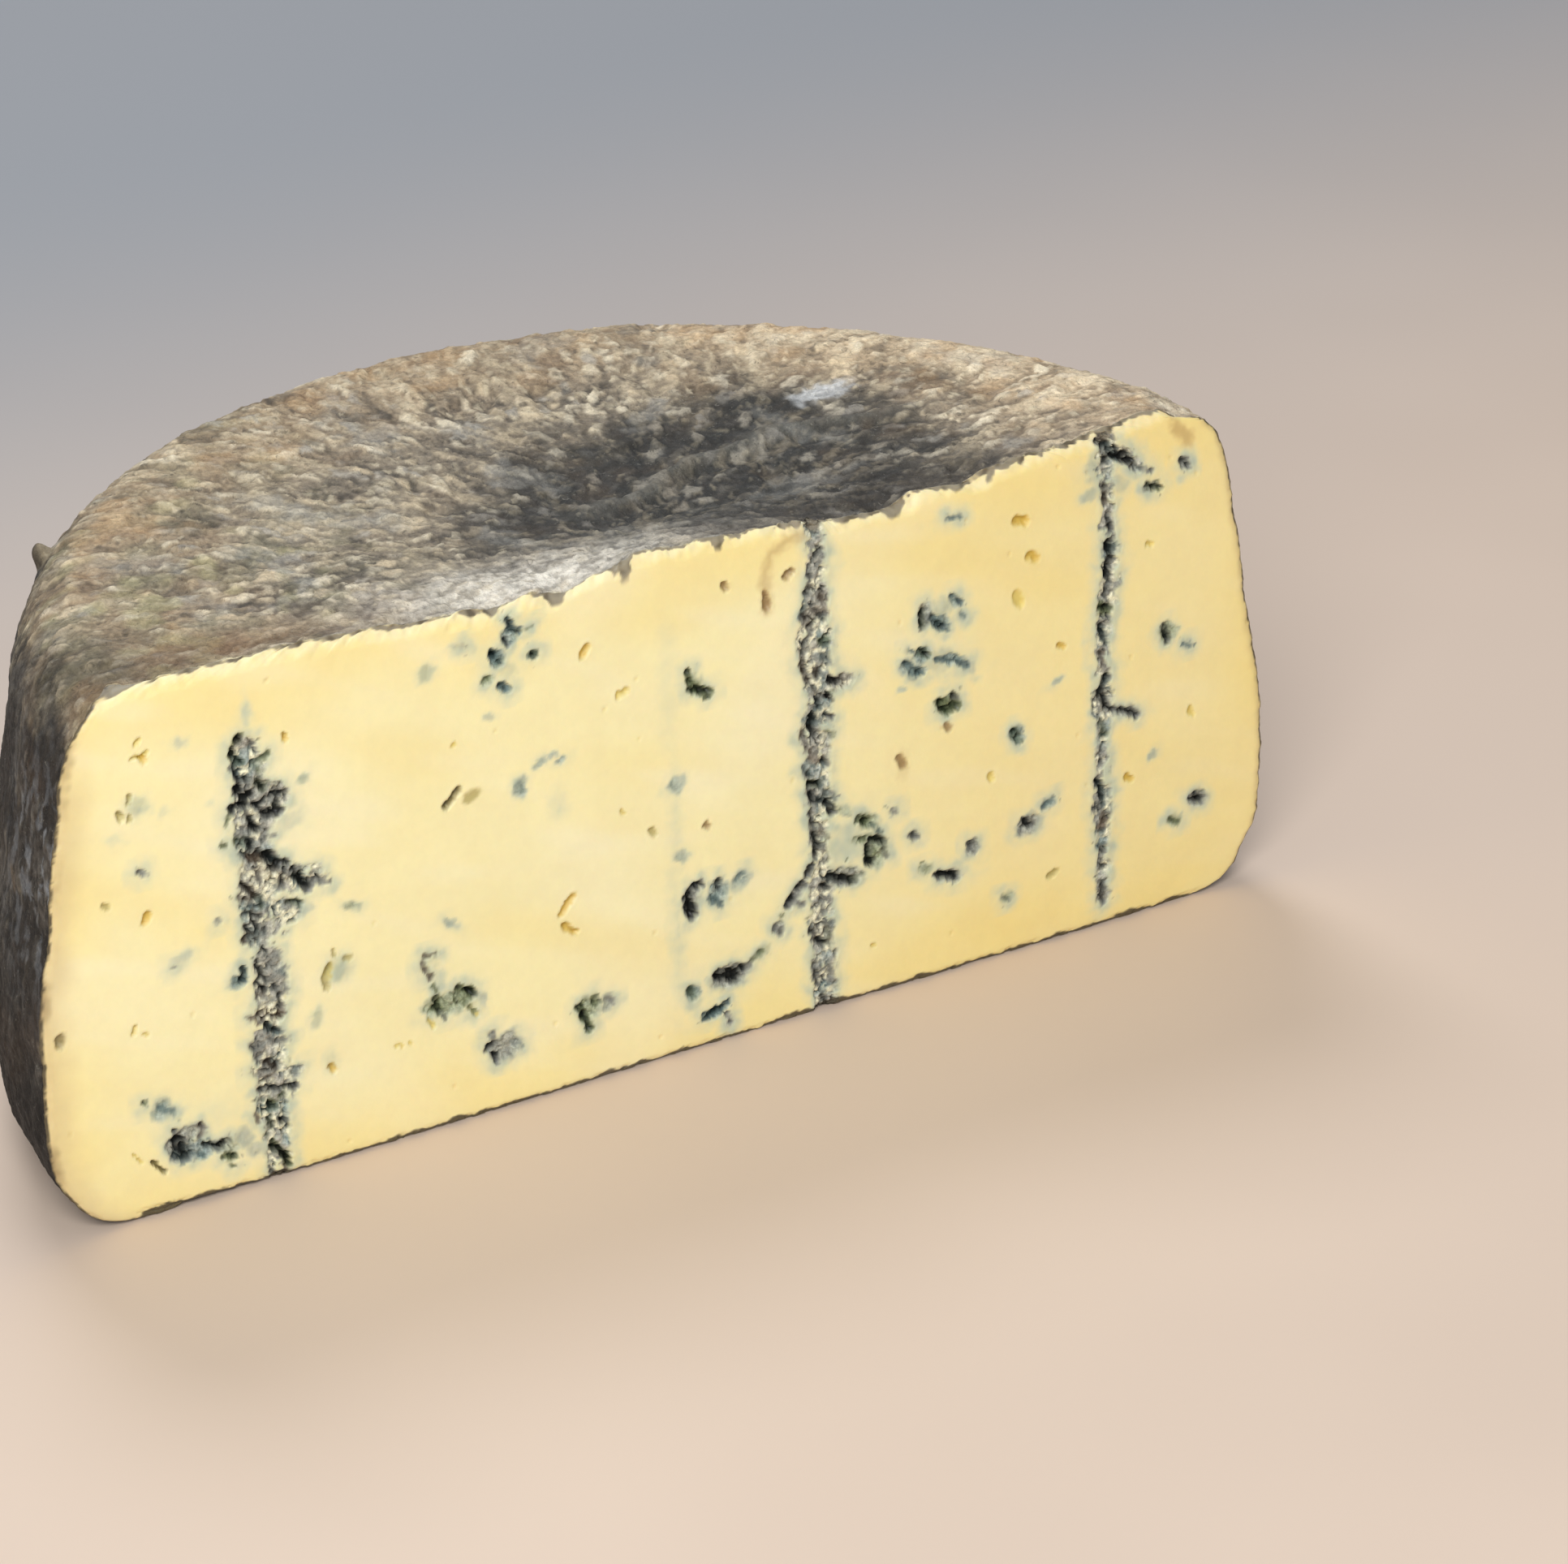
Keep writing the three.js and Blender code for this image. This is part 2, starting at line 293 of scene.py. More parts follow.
# Dark strokes between the crumbs, where the curd has parted: (half width, darkness, tone, points)
MARKS = [
    # left channel, upper half
    (0.9, 1.0, "g", [(-99.2, 99.2), (-100.6, 97.6), (-101.1, 95.6), (-100.2, 94.2), (-99.0, 93.6)]),
    (0.8, 0.85, "n", [(-101.2, 93.6), (-100.6, 91.8), (-99.8, 90.2), (-98.0, 89.2)]),
    (1.1, 0.95, "n", [(-100.4, 88.8), (-99.8, 87.0), (-98.6, 85.6), (-97.8, 86.8)]),
    (0.7, 0.8, "n", [(-96.8, 97.4), (-96.6, 97.0)]), (0.5, 0.8, "n", [(-96.1, 95.6), (-96.1, 95.1)]),
    (0.7, 0.6, "g", [(-95.6, 93.2), (-94.2, 93.2), (-93.7, 94.6)]), (0.8, 0.4, "g", [(-96.2, 92.4), (-95.4, 90.6)]),
    (1.0, 0.8, "g", [(-96.2, 88.4), (-94.6, 87.4)]), (0.9, 0.5, "n", [(-93.4, 87.2), (-92.0, 86.8)]),
    (1.0, 1.0, "n", [(-101.9, 84.6), (-100.2, 84.9), (-98.6, 84.2)]), (0.4, 0.7, "g", [(-102.4, 84.0), (-102.9, 82.6), (-103.3, 81.4)]),
    (0.8, 0.95, "n", [(-96.8, 84.0), (-95.0, 84.4), (-93.0, 84.8), (-91.2, 85.2)]), (0.35, 0.6, "n", [(-91.2, 85.2), (-89.6, 85.5)]),
    (1.0, 0.95, "n", [(-96.2, 83.2), (-95.0, 81.8), (-93.6, 81.2), (-91.9, 81.5)]), (0.8, 0.8, "n", [(-91.8, 83.4), (-92.4, 82.2)]),
    (0.8, 0.6, "n", [(-98.8, 83.2), (-98.2, 81.6)]), (1.0, 0.95, "n", [(-97.8, 80.6), (-97.4, 79.2), (-96.6, 78.4)]),
    (0.6, 0.6, "n", [(-95.6, 79.8), (-95.8, 78.0)]), (0.8, 0.75, "g", [(-101.6, 77.4), (-100.2, 77.2), (-99.8, 75.8)]),
    (0.6, 0.85, "g", [(-104.4, 77.6), (-104.0, 77.2)]), (1.0, 0.85, "n", [(-98.8, 76.8), (-98.2, 75.2), (-97.8, 74.2), (-96.8, 73.6)]),
    (0.7, 0.8, "n", [(-95.2, 77.2), (-95.9, 75.6)]), (0.4, 0.45, "n", [(-94.4, 76.6), (-92.8, 76.4)]),
    (0.9, 0.8, "w", [(-99.4, 73.8), (-97.6, 72.4), (-95.8, 71.6)]), (1.4, 1.0, "n", [(-94.8, 72.2), (-93.8, 71.0), (-93.2, 69.8)]),
    (0.7, 0.9, "n", [(-91.2, 70.2), (-90.6, 69.8)]), (0.8, 0.85, "n", [(-91.6, 68.8), (-91.7, 67.2), (-92.2, 65.6), (-92.6, 64.6)]),
    (1.2, 0.95, "n", [(-89.4, 67.4), (-88.6, 66.0), (-87.8, 64.4), (-86.6, 63.4)]), (0.7, 0.65, "n", [(-85.4, 64.2), (-83.4, 63.6), (-82.2, 63.2)]),
    (0.5, 0.5, "n", [(-100.4, 69.2), (-98.8, 68.0)]), (0.7, 0.7, "n", [(-97.2, 69.0), (-96.8, 67.4)]),
    (0.9, 0.8, "w", [(-100.6, 67.6), (-99.4, 66.0), (-98.6, 64.6), (-98.0, 64.0)]), (0.9, 0.7, "w", [(-100.4, 64.2), (-99.0, 63.4)]),
    (0.7, 0.5, "w", [(-101.8, 65.4), (-101.0, 64.0)]), (0.8, 0.7, "g", [(-97.2, 63.6), (-96.5, 62.0)]),
    (0.8, 0.75, "n", [(-100.4, 61.2), (-98.8, 60.4), (-97.8, 59.6)]), (0.6, 0.5, "n", [(-95.6, 61.2), (-95.6, 59.6)]),
    (0.7, 0.85, "g", [(-91.2, 61.2), (-89.6, 60.8), (-88.7, 60.1)]), (0.7, 0.7, "n", [(-100.8, 58.4), (-100.4, 58.0)]),
    (0.8, 0.85, "n", [(-98.8, 59.0), (-98.2, 57.2), (-98.2, 55.8)]), (0.9, 0.8, "w", [(-101.2, 56.0), (-99.6, 55.6), (-98.2, 54.8)]),
    (0.6, 0.7, "w", [(-99.8, 54.8), (-99.4, 54.2)]), (0.7, 0.35, "n", [(-94.0, 56.8), (-93.2, 56.5)]), (0.7, 0.4, "n", [(-96.6, 57.4), (-95.8, 56.6)]),
    # left channel, lower half
    (0.6, 0.6, "n", [(-98.2, 51.0), (-96.2, 50.4), (-94.0, 50.9)]), (0.8, 0.45, "n", [(-96.2, 50.0), (-95.4, 47.8)]),
    (0.8, 0.85, "n", [(-98.9, 49.2), (-98.0, 47.4), (-97.8, 46.0)]), (0.8, 0.9, "n", [(-98.9, 45.4), (-98.2, 44.0), (-97.3, 43.3)]),
    (0.8, 0.8, "n", [(-96.8, 45.6), (-95.6, 44.0), (-94.8, 42.4), (-94.2, 41.2)]), (0.5, 0.55, "n", [(-93.6, 46.6), (-92.8, 47.3)]),
    (0.8, 0.4, "n", [(-93.2, 43.4), (-93.0, 42.2)]), (0.8, 0.6, "w", [(-99.0, 42.6), (-97.4, 41.8)]), (0.8, 0.65, "n", [(-94.4, 40.2), (-94.2, 38.8)]),
    (0.6, 0.7, "w", [(-101.3, 38.5), (-99.8, 37.8), (-98.2, 38.7)]), (0.5, 0.55, "w", [(-99.9, 37.0), (-99.5, 36.3)]),
    (0.5, 0.6, "n", [(-96.5, 37.2), (-96.1, 36.3)]), (0.9, 0.85, "b", [(-97.3, 35.2), (-96.4, 34.0), (-95.5, 33.3)]), (0.5, 0.4, "n", [(-94.7, 34.4), (-94.5, 33.4)]),
    (0.7, 0.65, "n", [(-101.4, 32.0), (-100.4, 31.0), (-99.8, 29.4), (-99.8, 27.8)]), (0.8, 0.6, "n", [(-96.8, 31.9), (-95.0, 31.0), (-93.3, 31.2)]),
    (0.5, 0.45, "w", [(-101.8, 26.6), (-101.4, 25.4)]), (1.0, 0.75, "w", [(-98.1, 27.2), (-96.8, 26.0), (-95.9, 25.3)]),
    (0.6, 0.55, "w", [(-99.2, 24.8), (-97.7, 23.0), (-96.3, 24.0)]), (0.9, 0.85, "n", [(-99.5, 21.4), (-98.0, 21.0), (-96.5, 20.8)]),
    (0.8, 0.9, "n", [(-95.5, 20.4), (-94.0, 20.5), (-92.3, 20.1)]), (0.6, 0.75, "g", [(-95.7, 18.7), (-94.7, 19.3)]), (0.9, 0.4, "n", [(-92.6, 22.6), (-91.6, 23.4)]),
    (0.6, 0.55, "g", [(-100.2, 19.3), (-99.3, 18.6)]), (1.0, 0.95, "g", [(-97.9, 17.7), (-97.3, 16.3)]), (0.7, 0.8, "g", [(-98.1, 15.2), (-98.2, 13.4), (-97.8, 12.3)]),
    (0.8, 0.85, "n", [(-96.1, 13.7), (-95.3, 12.5)]), (0.8, 0.45, "w", [(-101.2, 16.2), (-100.8, 14.4)]), (0.6, 0.6, "g", [(-99.4, 11.0), (-99.0, 10.5)]),
    (0.9, 0.95, "g", [(-97.8, 8.1), (-96.8, 6.6), (-96.0, 5.6), (-95.0, 4.4), (-94.6, 2.8)]), (0.6, 0.65, "n", [(-98.9, 3.0), (-98.6, 1.5)]), (0.7, 0.6, "w", [(-95.5, 2.2), (-95.7, 0.4)]),
    # low left patch
    (1.5, 1.0, "n", [(-118.5, 15.6), (-118.2, 14.2), (-117.4, 13.0), (-116.6, 12.3)]), (1.0, 0.75, "b", [(-119.4, 12.4), (-118.2, 11.2), (-116.8, 11.0)]),
    (0.8, 0.75, "n", [(-119.2, 18.0), (-118.5, 17.7)]), (0.5, 0.5, "n", [(-120.6, 16.2), (-120.2, 15.7)]), (0.7, 0.45, "b", [(-115.6, 11.2), (-113.4, 10.8)]),
    (0.8, 1.0, "n", [(-112.1, 12.7), (-110.8, 11.8), (-109.0, 11.5), (-108.5, 12.3)]), (0.6, 0.6, "g", [(-107.6, 12.2), (-107.4, 10.2)]),
    (0.8, 0.8, "g", [(-108.6, 9.3), (-106.7, 8.5)]), (0.6, 0.45, "g", [(-107.3, 6.4), (-106.6, 6.0)]), (0.7, 0.65, "w", [(-113.7, 17.8), (-113.0, 16.6), (-113.7, 15.3)]),
    (0.6, 0.9, "g", [(-125.2, 26.5), (-125.0, 25.8)]), (0.9, 0.42, "b", [(-121.8, 24.2), (-120.6, 23.2), (-119.2, 22.6)]),
    (0.9, 0.95, "b", [(-102.1, 48.9), (-102.2, 46.9)]), (0.6, 0.65, "n", [(-122.5, 76.7), (-121.3, 75.7)]), (0.5, 0.35, "n", [(-106.4, 61.6), (-106.0, 61.2)]),
    (0.5, 0.35, "n", [(-117.0, 54.2), (-116.6, 54.0)]),
    # middle left
    (0.55, 0.65, "w", [(-59.4, 40.5), (-62.0, 40.6)]), (0.7, 0.62, "w", [(-62.7, 39.2), (-61.6, 37.0), (-60.8, 35.0)]), (0.5, 0.5, "g", [(-60.3, 33.6), (-59.6, 31.2)]),
    (1.1, 0.8, "g", [(-59.8, 30.4), (-59.8, 28.6), (-58.9, 27.2)]), (0.6, 0.5, "n", [(-58.6, 26.6), (-58.1, 25.4)]), (0.9, 0.85, "g", [(-54.8, 31.1), (-53.2, 30.1)]),
    (1.0, 0.95, "g", [(-52.2, 29.8), (-51.3, 28.8)]), (0.6, 0.4, "g", [(-53.2, 28.0), (-52.6, 26.4), (-51.2, 24.6)]), (0.8, 0.5, "n", [(-47.7, 18.6), (-47.2, 16.8)]),
    (0.9, 0.85, "n", [(-48.8, 15.3), (-46.8, 15.9)]), (0.8, 0.9, "n", [(-47.3, 13.5), (-46.6, 11.7)]), (0.8, 0.35, "b", [(-42.6, 15.2), (-40.9, 13.3)]),
    (1.0, 1.0, "g", [(-27.1, 18.5), (-26.2, 16.6), (-25.5, 14.8), (-25.0, 13.0)]), (0.9, 0.85, "g", [(-23.6, 19.8), (-23.1, 18.3)]), (0.9, 0.4, "n", [(-20.4, 18.6), (-19.4, 17.4)]),
    (0.8, 0.85, "b", [(-39.8, 109.4), (-38.9, 107.6), (-38.4, 106.4), (-37.4, 106.2)]), (0.25, 0.5, "g", [(-37.4, 106.2), (-34.0, 106.6)]), (0.7, 0.7, "n", [(-40.4, 105.0), (-39.9, 104.2)]),
    (1.0, 1.0, "b", [(-43.5, 103.0), (-42.7, 101.8)]), (0.8, 0.6, "b", [(-43.4, 101.0), (-42.0, 100.6)]), (1.0, 0.85, "g", [(-34.8, 100.4), (-34.0, 100.2)]),
    (0.9, 0.7, "b", [(-42.0, 95.4), (-40.6, 94.2)]), (0.7, 0.6, "g", [(-45.4, 97.5), (-44.8, 97.3)]), (0.5, 0.4, "w", [(-49.9, 106.0), (-48.9, 105.5)]),
    (0.9, 0.8, "g", [(0.7, 87.6), (1.4, 84.6)]), (1.1, 0.85, "g", [(1.4, 83.8), (3.4, 82.7), (5.6, 81.5)]),
    # middle channel
    (0.9, 0.6, "b", [(31.0, 113.0), (31.6, 110.4)]), (0.6, 0.6, "n", [(32.6, 107.4), (33.2, 105.4)]), (0.8, 0.8, "n", [(30.2, 101.6), (29.8, 99.4)]),
    (0.7, 0.6, "n", [(29.2, 98.4), (30.2, 97.0)]), (0.9, 0.6, "w", [(32.4, 96.6), (33.4, 95.2)]), (0.9, 0.7, "n", [(28.6, 94.6), (28.6, 92.2), (29.9, 90.2)]),
    (1.0, 0.6, "n", [(31.2, 93.4), (33.2, 92.0)]), (0.8, 0.75, "n", [(29.8, 88.6), (28.6, 86.4), (28.2, 84.0)]), (0.8, 0.7, "w", [(28.0, 82.6), (28.6, 79.6), (29.8, 77.8)]),
    (1.1, 0.8, "g", [(33.1, 86.0), (33.6, 85.4)]), (0.9, 0.75, "w", [(32.0, 79.8), (31.9, 78.2)]), (0.9, 0.5, "n", [(33.0, 83.0), (34.6, 81.0)]),
    (1.1, 0.95, "n", [(35.0, 76.4), (36.4, 75.8)]), (0.8, 0.35, "n", [(37.8, 76.6), (39.6, 76.2)]), (0.6, 0.6, "w", [(30.8, 76.4), (31.4, 74.8)]), (1.0, 0.8, "n", [(31.8, 73.0), (31.6, 71.2)]),
    (1.2, 1.0, "n", [(30.4, 69.6), (30.4, 67.6), (30.8, 65.6)]), (0.8, 0.75, "n", [(33.4, 69.0), (34.6, 68.2)]), (0.6, 0.6, "g", [(34.0, 65.4), (35.0, 64.2)]),
    (0.7, 0.6, "w", [(27.4, 66.6), (28.4, 64.0), (29.7, 61.2), (29.6, 59.4)]), (0.8, 0.65, "n", [(28.0, 58.6), (28.6, 57.2)]), (0.8, 0.5, "n", [(33.2, 59.0), (33.5, 57.6)]),
    (1.1, 0.95, "g", [(29.6, 54.0), (31.6, 53.8)]), (1.0, 0.9, "n", [(29.9, 52.2), (30.1, 50.2), (32.4, 49.4), (34.2, 48.0), (34.6, 46.6)]), (0.8, 0.5, "n", [(34.2, 51.2), (35.2, 49.4)]),
    (0.9, 0.8, "n", [(29.4, 48.2), (29.8, 45.2), (30.6, 42.0), (31.0, 39.4), (30.8, 36.8)]), (0.8, 0.55, "w", [(32.0, 43.0), (33.4, 41.0)]),
    (1.0, 0.9, "n", [(29.6, 35.0), (28.4, 33.0)]), (1.1, 0.85, "n", [(27.4, 31.4), (26.4, 30.6)]), (1.1, 0.95, "n", [(25.0, 29.0), (23.8, 27.6)]), (0.9, 0.5, "n", [(25.8, 27.4), (27.2, 26.8)]), (0.7, 0.5, "g", [(22.4, 25.6), (21.6, 24.6)]),
    (1.2, 0.95, "n", [(34.4, 31.2), (36.2, 30.2)]), (1.3, 0.9, "n", [(37.4, 29.4), (39.2, 29.0)]), (1.0, 0.75, "n", [(32.2, 29.4), (34.0, 28.6)]), (0.8, 0.5, "g", [(39.6, 28.6), (42.0, 29.6)]),
    (1.2, 1.0, "n", [(43.4, 35.4), (43.5, 33.2), (44.4, 31.8)]), (1.2, 0.9, "n", [(44.8, 37.2), (47.0, 36.0)]), (0.9, 0.55, "n", [(47.4, 34.2), (47.8, 32.6)]),
    (1.1, 0.85, "g", [(41.2, 43.0), (43.4, 41.8)]), (0.8, 0.5, "b", [(44.6, 40.6), (46.2, 38.6)]), (0.7, 0.65, "g", [(40.2, 38.6), (42.4, 37.9)]), (0.8, 0.4, "n", [(49.4, 42.8), (50.2, 42.0)]),
    (1.0, 0.6, "n", [(54.2, 35.6), (55.0, 35.0)]), (1.1, 0.6, "n", [(20.2, 23.4), (21.8, 21.9)]),
    (1.8, 1.0, "n", [(6.6, 15.9), (8.2, 15.2), (10.4, 14.4)]), (1.1, 0.85, "n", [(11.4, 15.4), (13.4, 16.2)]), (0.8, 0.5, "g", [(14.2, 17.4), (17.0, 18.8)]), (1.1, 0.6, "g", [(-0.8, 14.8), (0.2, 13.0)]),
    (1.0, 0.8, "b", [(2.6, 7.2), (6.0, 7.7), (8.0, 8.9)]), (0.6, 0.55, "n", [(8.0, 6.4), (8.9, 4.0)]), (1.2, 1.0, "n", [(2.2, 38.3), (0.8, 37.8), (-0.6, 36.2)]),
    (1.4, 1.0, "n", [(-0.5, 35.8), (0.1, 33.4), (0.5, 31.8)]), (1.0, 0.75, "n", [(6.8, 37.8), (7.2, 35.8)]), (0.9, 0.55, "b", [(4.8, 34.6), (7.2, 32.4)]), (0.8, 0.35, "b", [(10.8, 37.0), (12.6, 38.0)]),
    (1.1, 0.75, "n", [(29.4, 20.2), (30.4, 17.8), (32.2, 15.8)]), (1.0, 0.7, "n", [(29.9, 12.0), (30.2, 9.4), (31.0, 6.6)]), (0.8, 0.45, "g", [(33.0, 20.0), (33.6, 15.4)]),
    (0.9, 0.5, "n", [(32.0, 25.6), (32.4, 23.2)]), (0.9, 0.5, "n", [(34.0, 10.0), (34.2, 6.0)]), (0.9, 0.6, "n", [(31.8, 4.4), (32.8, 1.2)]),
    # right of the middle channel
    (1.1, 0.95, "g", [(57.3, 86.6), (57.4, 84.8), (57.2, 83.8)]), (0.6, 0.45, "w", [(57.0, 88.2), (57.4, 87.6)]), (1.0, 0.75, "b", [(59.6, 84.6), (61.2, 82.8), (63.2, 81.6)]),
    (0.8, 0.6, "b", [(64.6, 88.4), (66.6, 86.6)]), (0.7, 0.35, "b", [(66.6, 84.0), (67.8, 82.8)]), (0.7, 0.5, "b", [(53.8, 78.8), (54.8, 78.2)]), (1.1, 0.85, "g", [(57.0, 77.6), (58.4, 76.6)]),
    (0.9, 0.6, "b", [(52.8, 76.2), (54.2, 74.8)]), (1.0, 0.65, "b", [(54.8, 73.8), (56.8, 73.0)]), (0.8, 0.65, "b", [(61.0, 74.8), (63.6, 74.0), (66.0, 73.0), (68.4, 71.4)]),
    (1.4, 0.85, "g", [(61.6, 64.4), (63.0, 62.6), (65.2, 62.9)]), (0.9, 0.75, "n", [(64.8, 65.8), (65.4, 64.8)]), (1.1, 1.0, "n", [(61.0, 24.1), (63.0, 23.4), (65.2, 22.6)]),
    (0.8, 0.35, "g", [(56.4, 27.0), (58.4, 26.4)]), (1.1, 0.7, "n", [(69.2, 29.4), (70.0, 27.6)]), (0.7, 0.4, "b", [(63.4, 106.4), (66.6, 106.0)]),
    # right channel
    (1.3, 0.8, "n", [(103.0, 113.6), (103.2, 110.2)]), (1.2, 0.95, "n", [(105.4, 110.8), (108.0, 109.6), (110.0, 107.6)]), (0.7, 0.5, "n", [(111.6, 106.2), (114.6, 105.0)]),
    (1.0, 0.9, "g", [(113.8, 101.8), (116.8, 100.6)]), (1.0, 0.8, "n", [(122.8, 105.4), (124.0, 103.8)]), (0.9, 0.8, "w", [(103.2, 104.0), (103.6, 100.4)]),
    (0.9, 0.85, "n", [(103.8, 97.6), (104.4, 93.6)]), (1.2, 1.0, "n", [(104.2, 91.0), (104.8, 87.2), (104.2, 83.4)]), (1.0, 0.8, "n", [(104.6, 81.6), (103.8, 78.6)]),
    (1.2, 0.95, "g", [(102.4, 76.4), (104.2, 75.4)]), (0.9, 0.8, "n", [(102.6, 72.4), (103.2, 69.0)]), (0.8, 0.6, "w", [(102.6, 66.0), (102.9, 62.4)]),
    (1.1, 0.9, "n", [(103.8, 59.6), (102.6, 55.8), (104.0, 52.6)]), (0.9, 0.85, "n", [(105.4, 51.6), (108.6, 50.4), (111.6, 48.8)]), (0.9, 0.7, "g", [(102.4, 49.6), (103.4, 46.4)]),
    (0.8, 0.6, "n", [(102.8, 43.0), (102.6, 39.4)]), (1.1, 0.85, "n", [(102.2, 34.8), (103.6, 31.4), (102.8, 28.4)]), (0.9, 0.7, "w", [(104.0, 27.0), (103.2, 22.6)]),
    (0.8, 0.6, "n", [(103.4, 18.6), (103.0, 14.2)]), (0.8, 0.7, "n", [(103.4, 10.6), (103.6, 5.8)]),
    (1.1, 0.85, "n", [(82.4, 31.0), (84.6, 29.6)]), (0.8, 0.5, "b", [(87.6, 33.2), (90.0, 34.4)]), (1.0, 0.8, "g", [(80.0, 53.2), (81.2, 50.8)]), (1.0, 0.85, "n", [(118.8, 67.6), (119.8, 64.6)]),
    (0.7, 0.5, "b", [(123.8, 62.4), (125.6, 61.6)]), (1.1, 0.9, "n", [(126.8, 24.6), (129.6, 23.2)]), (0.9, 0.55, "g", [(121.2, 21.0), (122.8, 19.6)]), (0.7, 0.45, "n", [(77.2, 14.4), (78.8, 13.4)]),
]
# Eyes and slits in the paste, between two points: (half width, depth, colour, points) with colour o orange,
# y yellow, g olive, k dark, b brown
EYES = [
    (0.40, 0.9, "y", [(-121.8, 101.2), (-120.0, 100.7), (-118.7, 101.3)]), (0.5, 1.1, "o", [(-119.9, 100.8), (-119.6, 99.6)]),
    (0.45, 0.9, "y", [(-121.0, 103.6), (-120.2, 104.3)]), (0.65, 1.2, "o", [(-121.3, 66.9), (-121.9, 65.5)]), (0.55, 1.1, "o", [(-89.6, 97.2), (-89.5, 96.4)]),
    (0.5, 1.0, "y", [(-125.7, 43.4), (-126.2, 42.2)]), (0.3, 0.5, "y", [(-124.0, 41.6), (-123.3, 41.4)]), (0.6, 1.2, "g", [(-125.5, 90.0), (-125.2, 88.7)]),
    (0.45, 0.8, "g", [(-123.1, 93.0), (-123.4, 91.7)]), (0.4, 0.7, "g", [(-123.6, 88.8), (-123.2, 87.9)]), (0.42, 1.2, "k", [(-124.4, 12.8), (-123.0, 11.0), (-121.9, 9.5)]),
    (0.3, 0.6, "y", [(-128.2, 15.6), (-126.8, 13.4)]), (0.72, 1.8, "k", [(-55.4, 72.4), (-54.2, 73.6), (-52.4, 75.2)]), (1.1, 0.12, "g", [(-50.4, 72.8), (-48.8, 73.4)]),
    (0.75, 1.2, "o", [(-23.2, 97.2), (-22.1, 99.0)]), (0.7, 0.8, "y", [(-15.4, 86.4), (-13.6, 87.1)]), (0.4, 0.5, "y", [(-53.4, 85.2), (-52.6, 85.3)]),
    (0.65, 1.0, "o", [(-27.4, 44.3), (-28.9, 42.7), (-30.4, 41.0)]), (0.65, 1.2, "o", [(-29.8, 38.0), (-28.4, 36.9), (-27.1, 35.9)]),
    (0.6, 0.9, "g", [(-83.4, 44.4), (-84.4, 42.2), (-84.0, 39.8)]), (0.6, 0.6, "y", [(-83.2, 44.8), (-83.4, 42.4)]), (0.4, 0.5, "g", [(-82.2, 48.0), (-82.0, 46.6)]),
    (0.7, 0.5, "g", [(-79.4, 45.5), (-78.8, 45.2)]), (0.6, 1.0, "o", [(-84.2, 22.0), (-83.4, 20.8)]), (0.4, 0.7, "y", [(-61.8, 25.8), (-60.6, 24.2)]), (0.4, 0.5, "y", [(-52.4, 26.2), (-51.0, 23.8)]),
    (0.75, 1.2, "b", [(9.8, 104.5), (10.2, 103.9)]), (0.9, 1.3, "b", [(24.6, 102.9), (25.6, 103.4)]), (0.9, 1.2, "b", [(19.6, 98.6), (19.8, 97.0)]), (0.6, 0.7, "b", [(19.2, 100.4), (19.4, 99.2)]),
    (0.7, 0.9, "b", [(4.2, 51.9), (4.6, 51.5)]), (0.7, 0.7, "g", [(-8.6, 54.0), (-8.2, 53.2)]), (1.0, 1.2, "o", [(80.6, 101.8), (82.6, 101.1)]), (0.9, 1.0, "o", [(84.0, 92.9), (85.4, 92.0)]),
    (1.0, 0.7, "y", [(80.8, 84.6), (81.6, 82.6)]), (0.9, 0.6, "b", [(51.4, 54.4), (52.2, 52.6)]), (0.8, 0.6, "b", [(63.0, 58.8), (63.6, 58.2)]),
    (0.6, 0.9, "o", [(91.4, 70.4), (92.6, 69.6)]), (0.7, 0.9, "y", [(74.0, 44.4), (74.4, 43.4)]), (0.5, 0.8, "y", [(114.2, 88.2), (115.2, 87.8)]),
    (0.6, 0.9, "o", [(109.2, 34.6), (110.4, 33.4)]), (0.6, 0.7, "g", [(89.0, 16.0), (91.0, 16.6)]), (0.6, 0.9, "y", [(125.8, 46.4), (126.2, 45.4)]),
    (0.9, 1.2, "k", [(-141.4, 45.6), (-141.8, 44.4)]), (0.35, 0.4, "y", [(-69.4, 22.0), (-68.0, 21.8)]), (0.35, 0.4, "y", [(-66.6, 22.0), (-65.8, 21.6)]),
    (0.4, 0.5, "y", [(44.0, 12.4), (44.8, 11.8)]), (0.4, 0.5, "y", [(-15.6, 60.2), (-15.0, 59.8)]), (0.5, 0.6, "g", [(-130.2, 71.4), (-129.4, 70.6)]),
]
# Very soft needle traces and bloom: (x, z, half width, half height, strength)
STAINS = [
    (-97.4, 104.0, 1.6, 5.0, 0.40), (-97.8, 101.0, 2.6, 6.0, 0.20), (-3.0, 56.0, 2.6, 17.0, 0.24), (-3.4, 30.0, 2.8, 24.0, 0.28),
    (-4.0, 86.0, 3.0, 18.0, 0.17), (-112.0, 19.0, 9.0, 6.0, 0.20), (-121.0, 22.0, 5.0, 7.0, 0.26), (-40.0, 101.0, 7.0, 8.0, 0.18),
    (-56.0, 30.0, 9.0, 8.0, 0.14), (6.0, 35.0, 11.0, 6.4, 0.20), (6.0, 14.0, 12.0, 8.0, 0.18), (40.0, 38.0, 12.0, 12.0, 0.20),
    (60.0, 79.0, 12.0, 12.0, 0.16), (-90.0, 78.0, 6.0, 6.0, 0.14), (-105.0, 11.0, 6.0, 5.0, 0.22), (100.0, 108.0, 6.0, 6.0, 0.16),
]
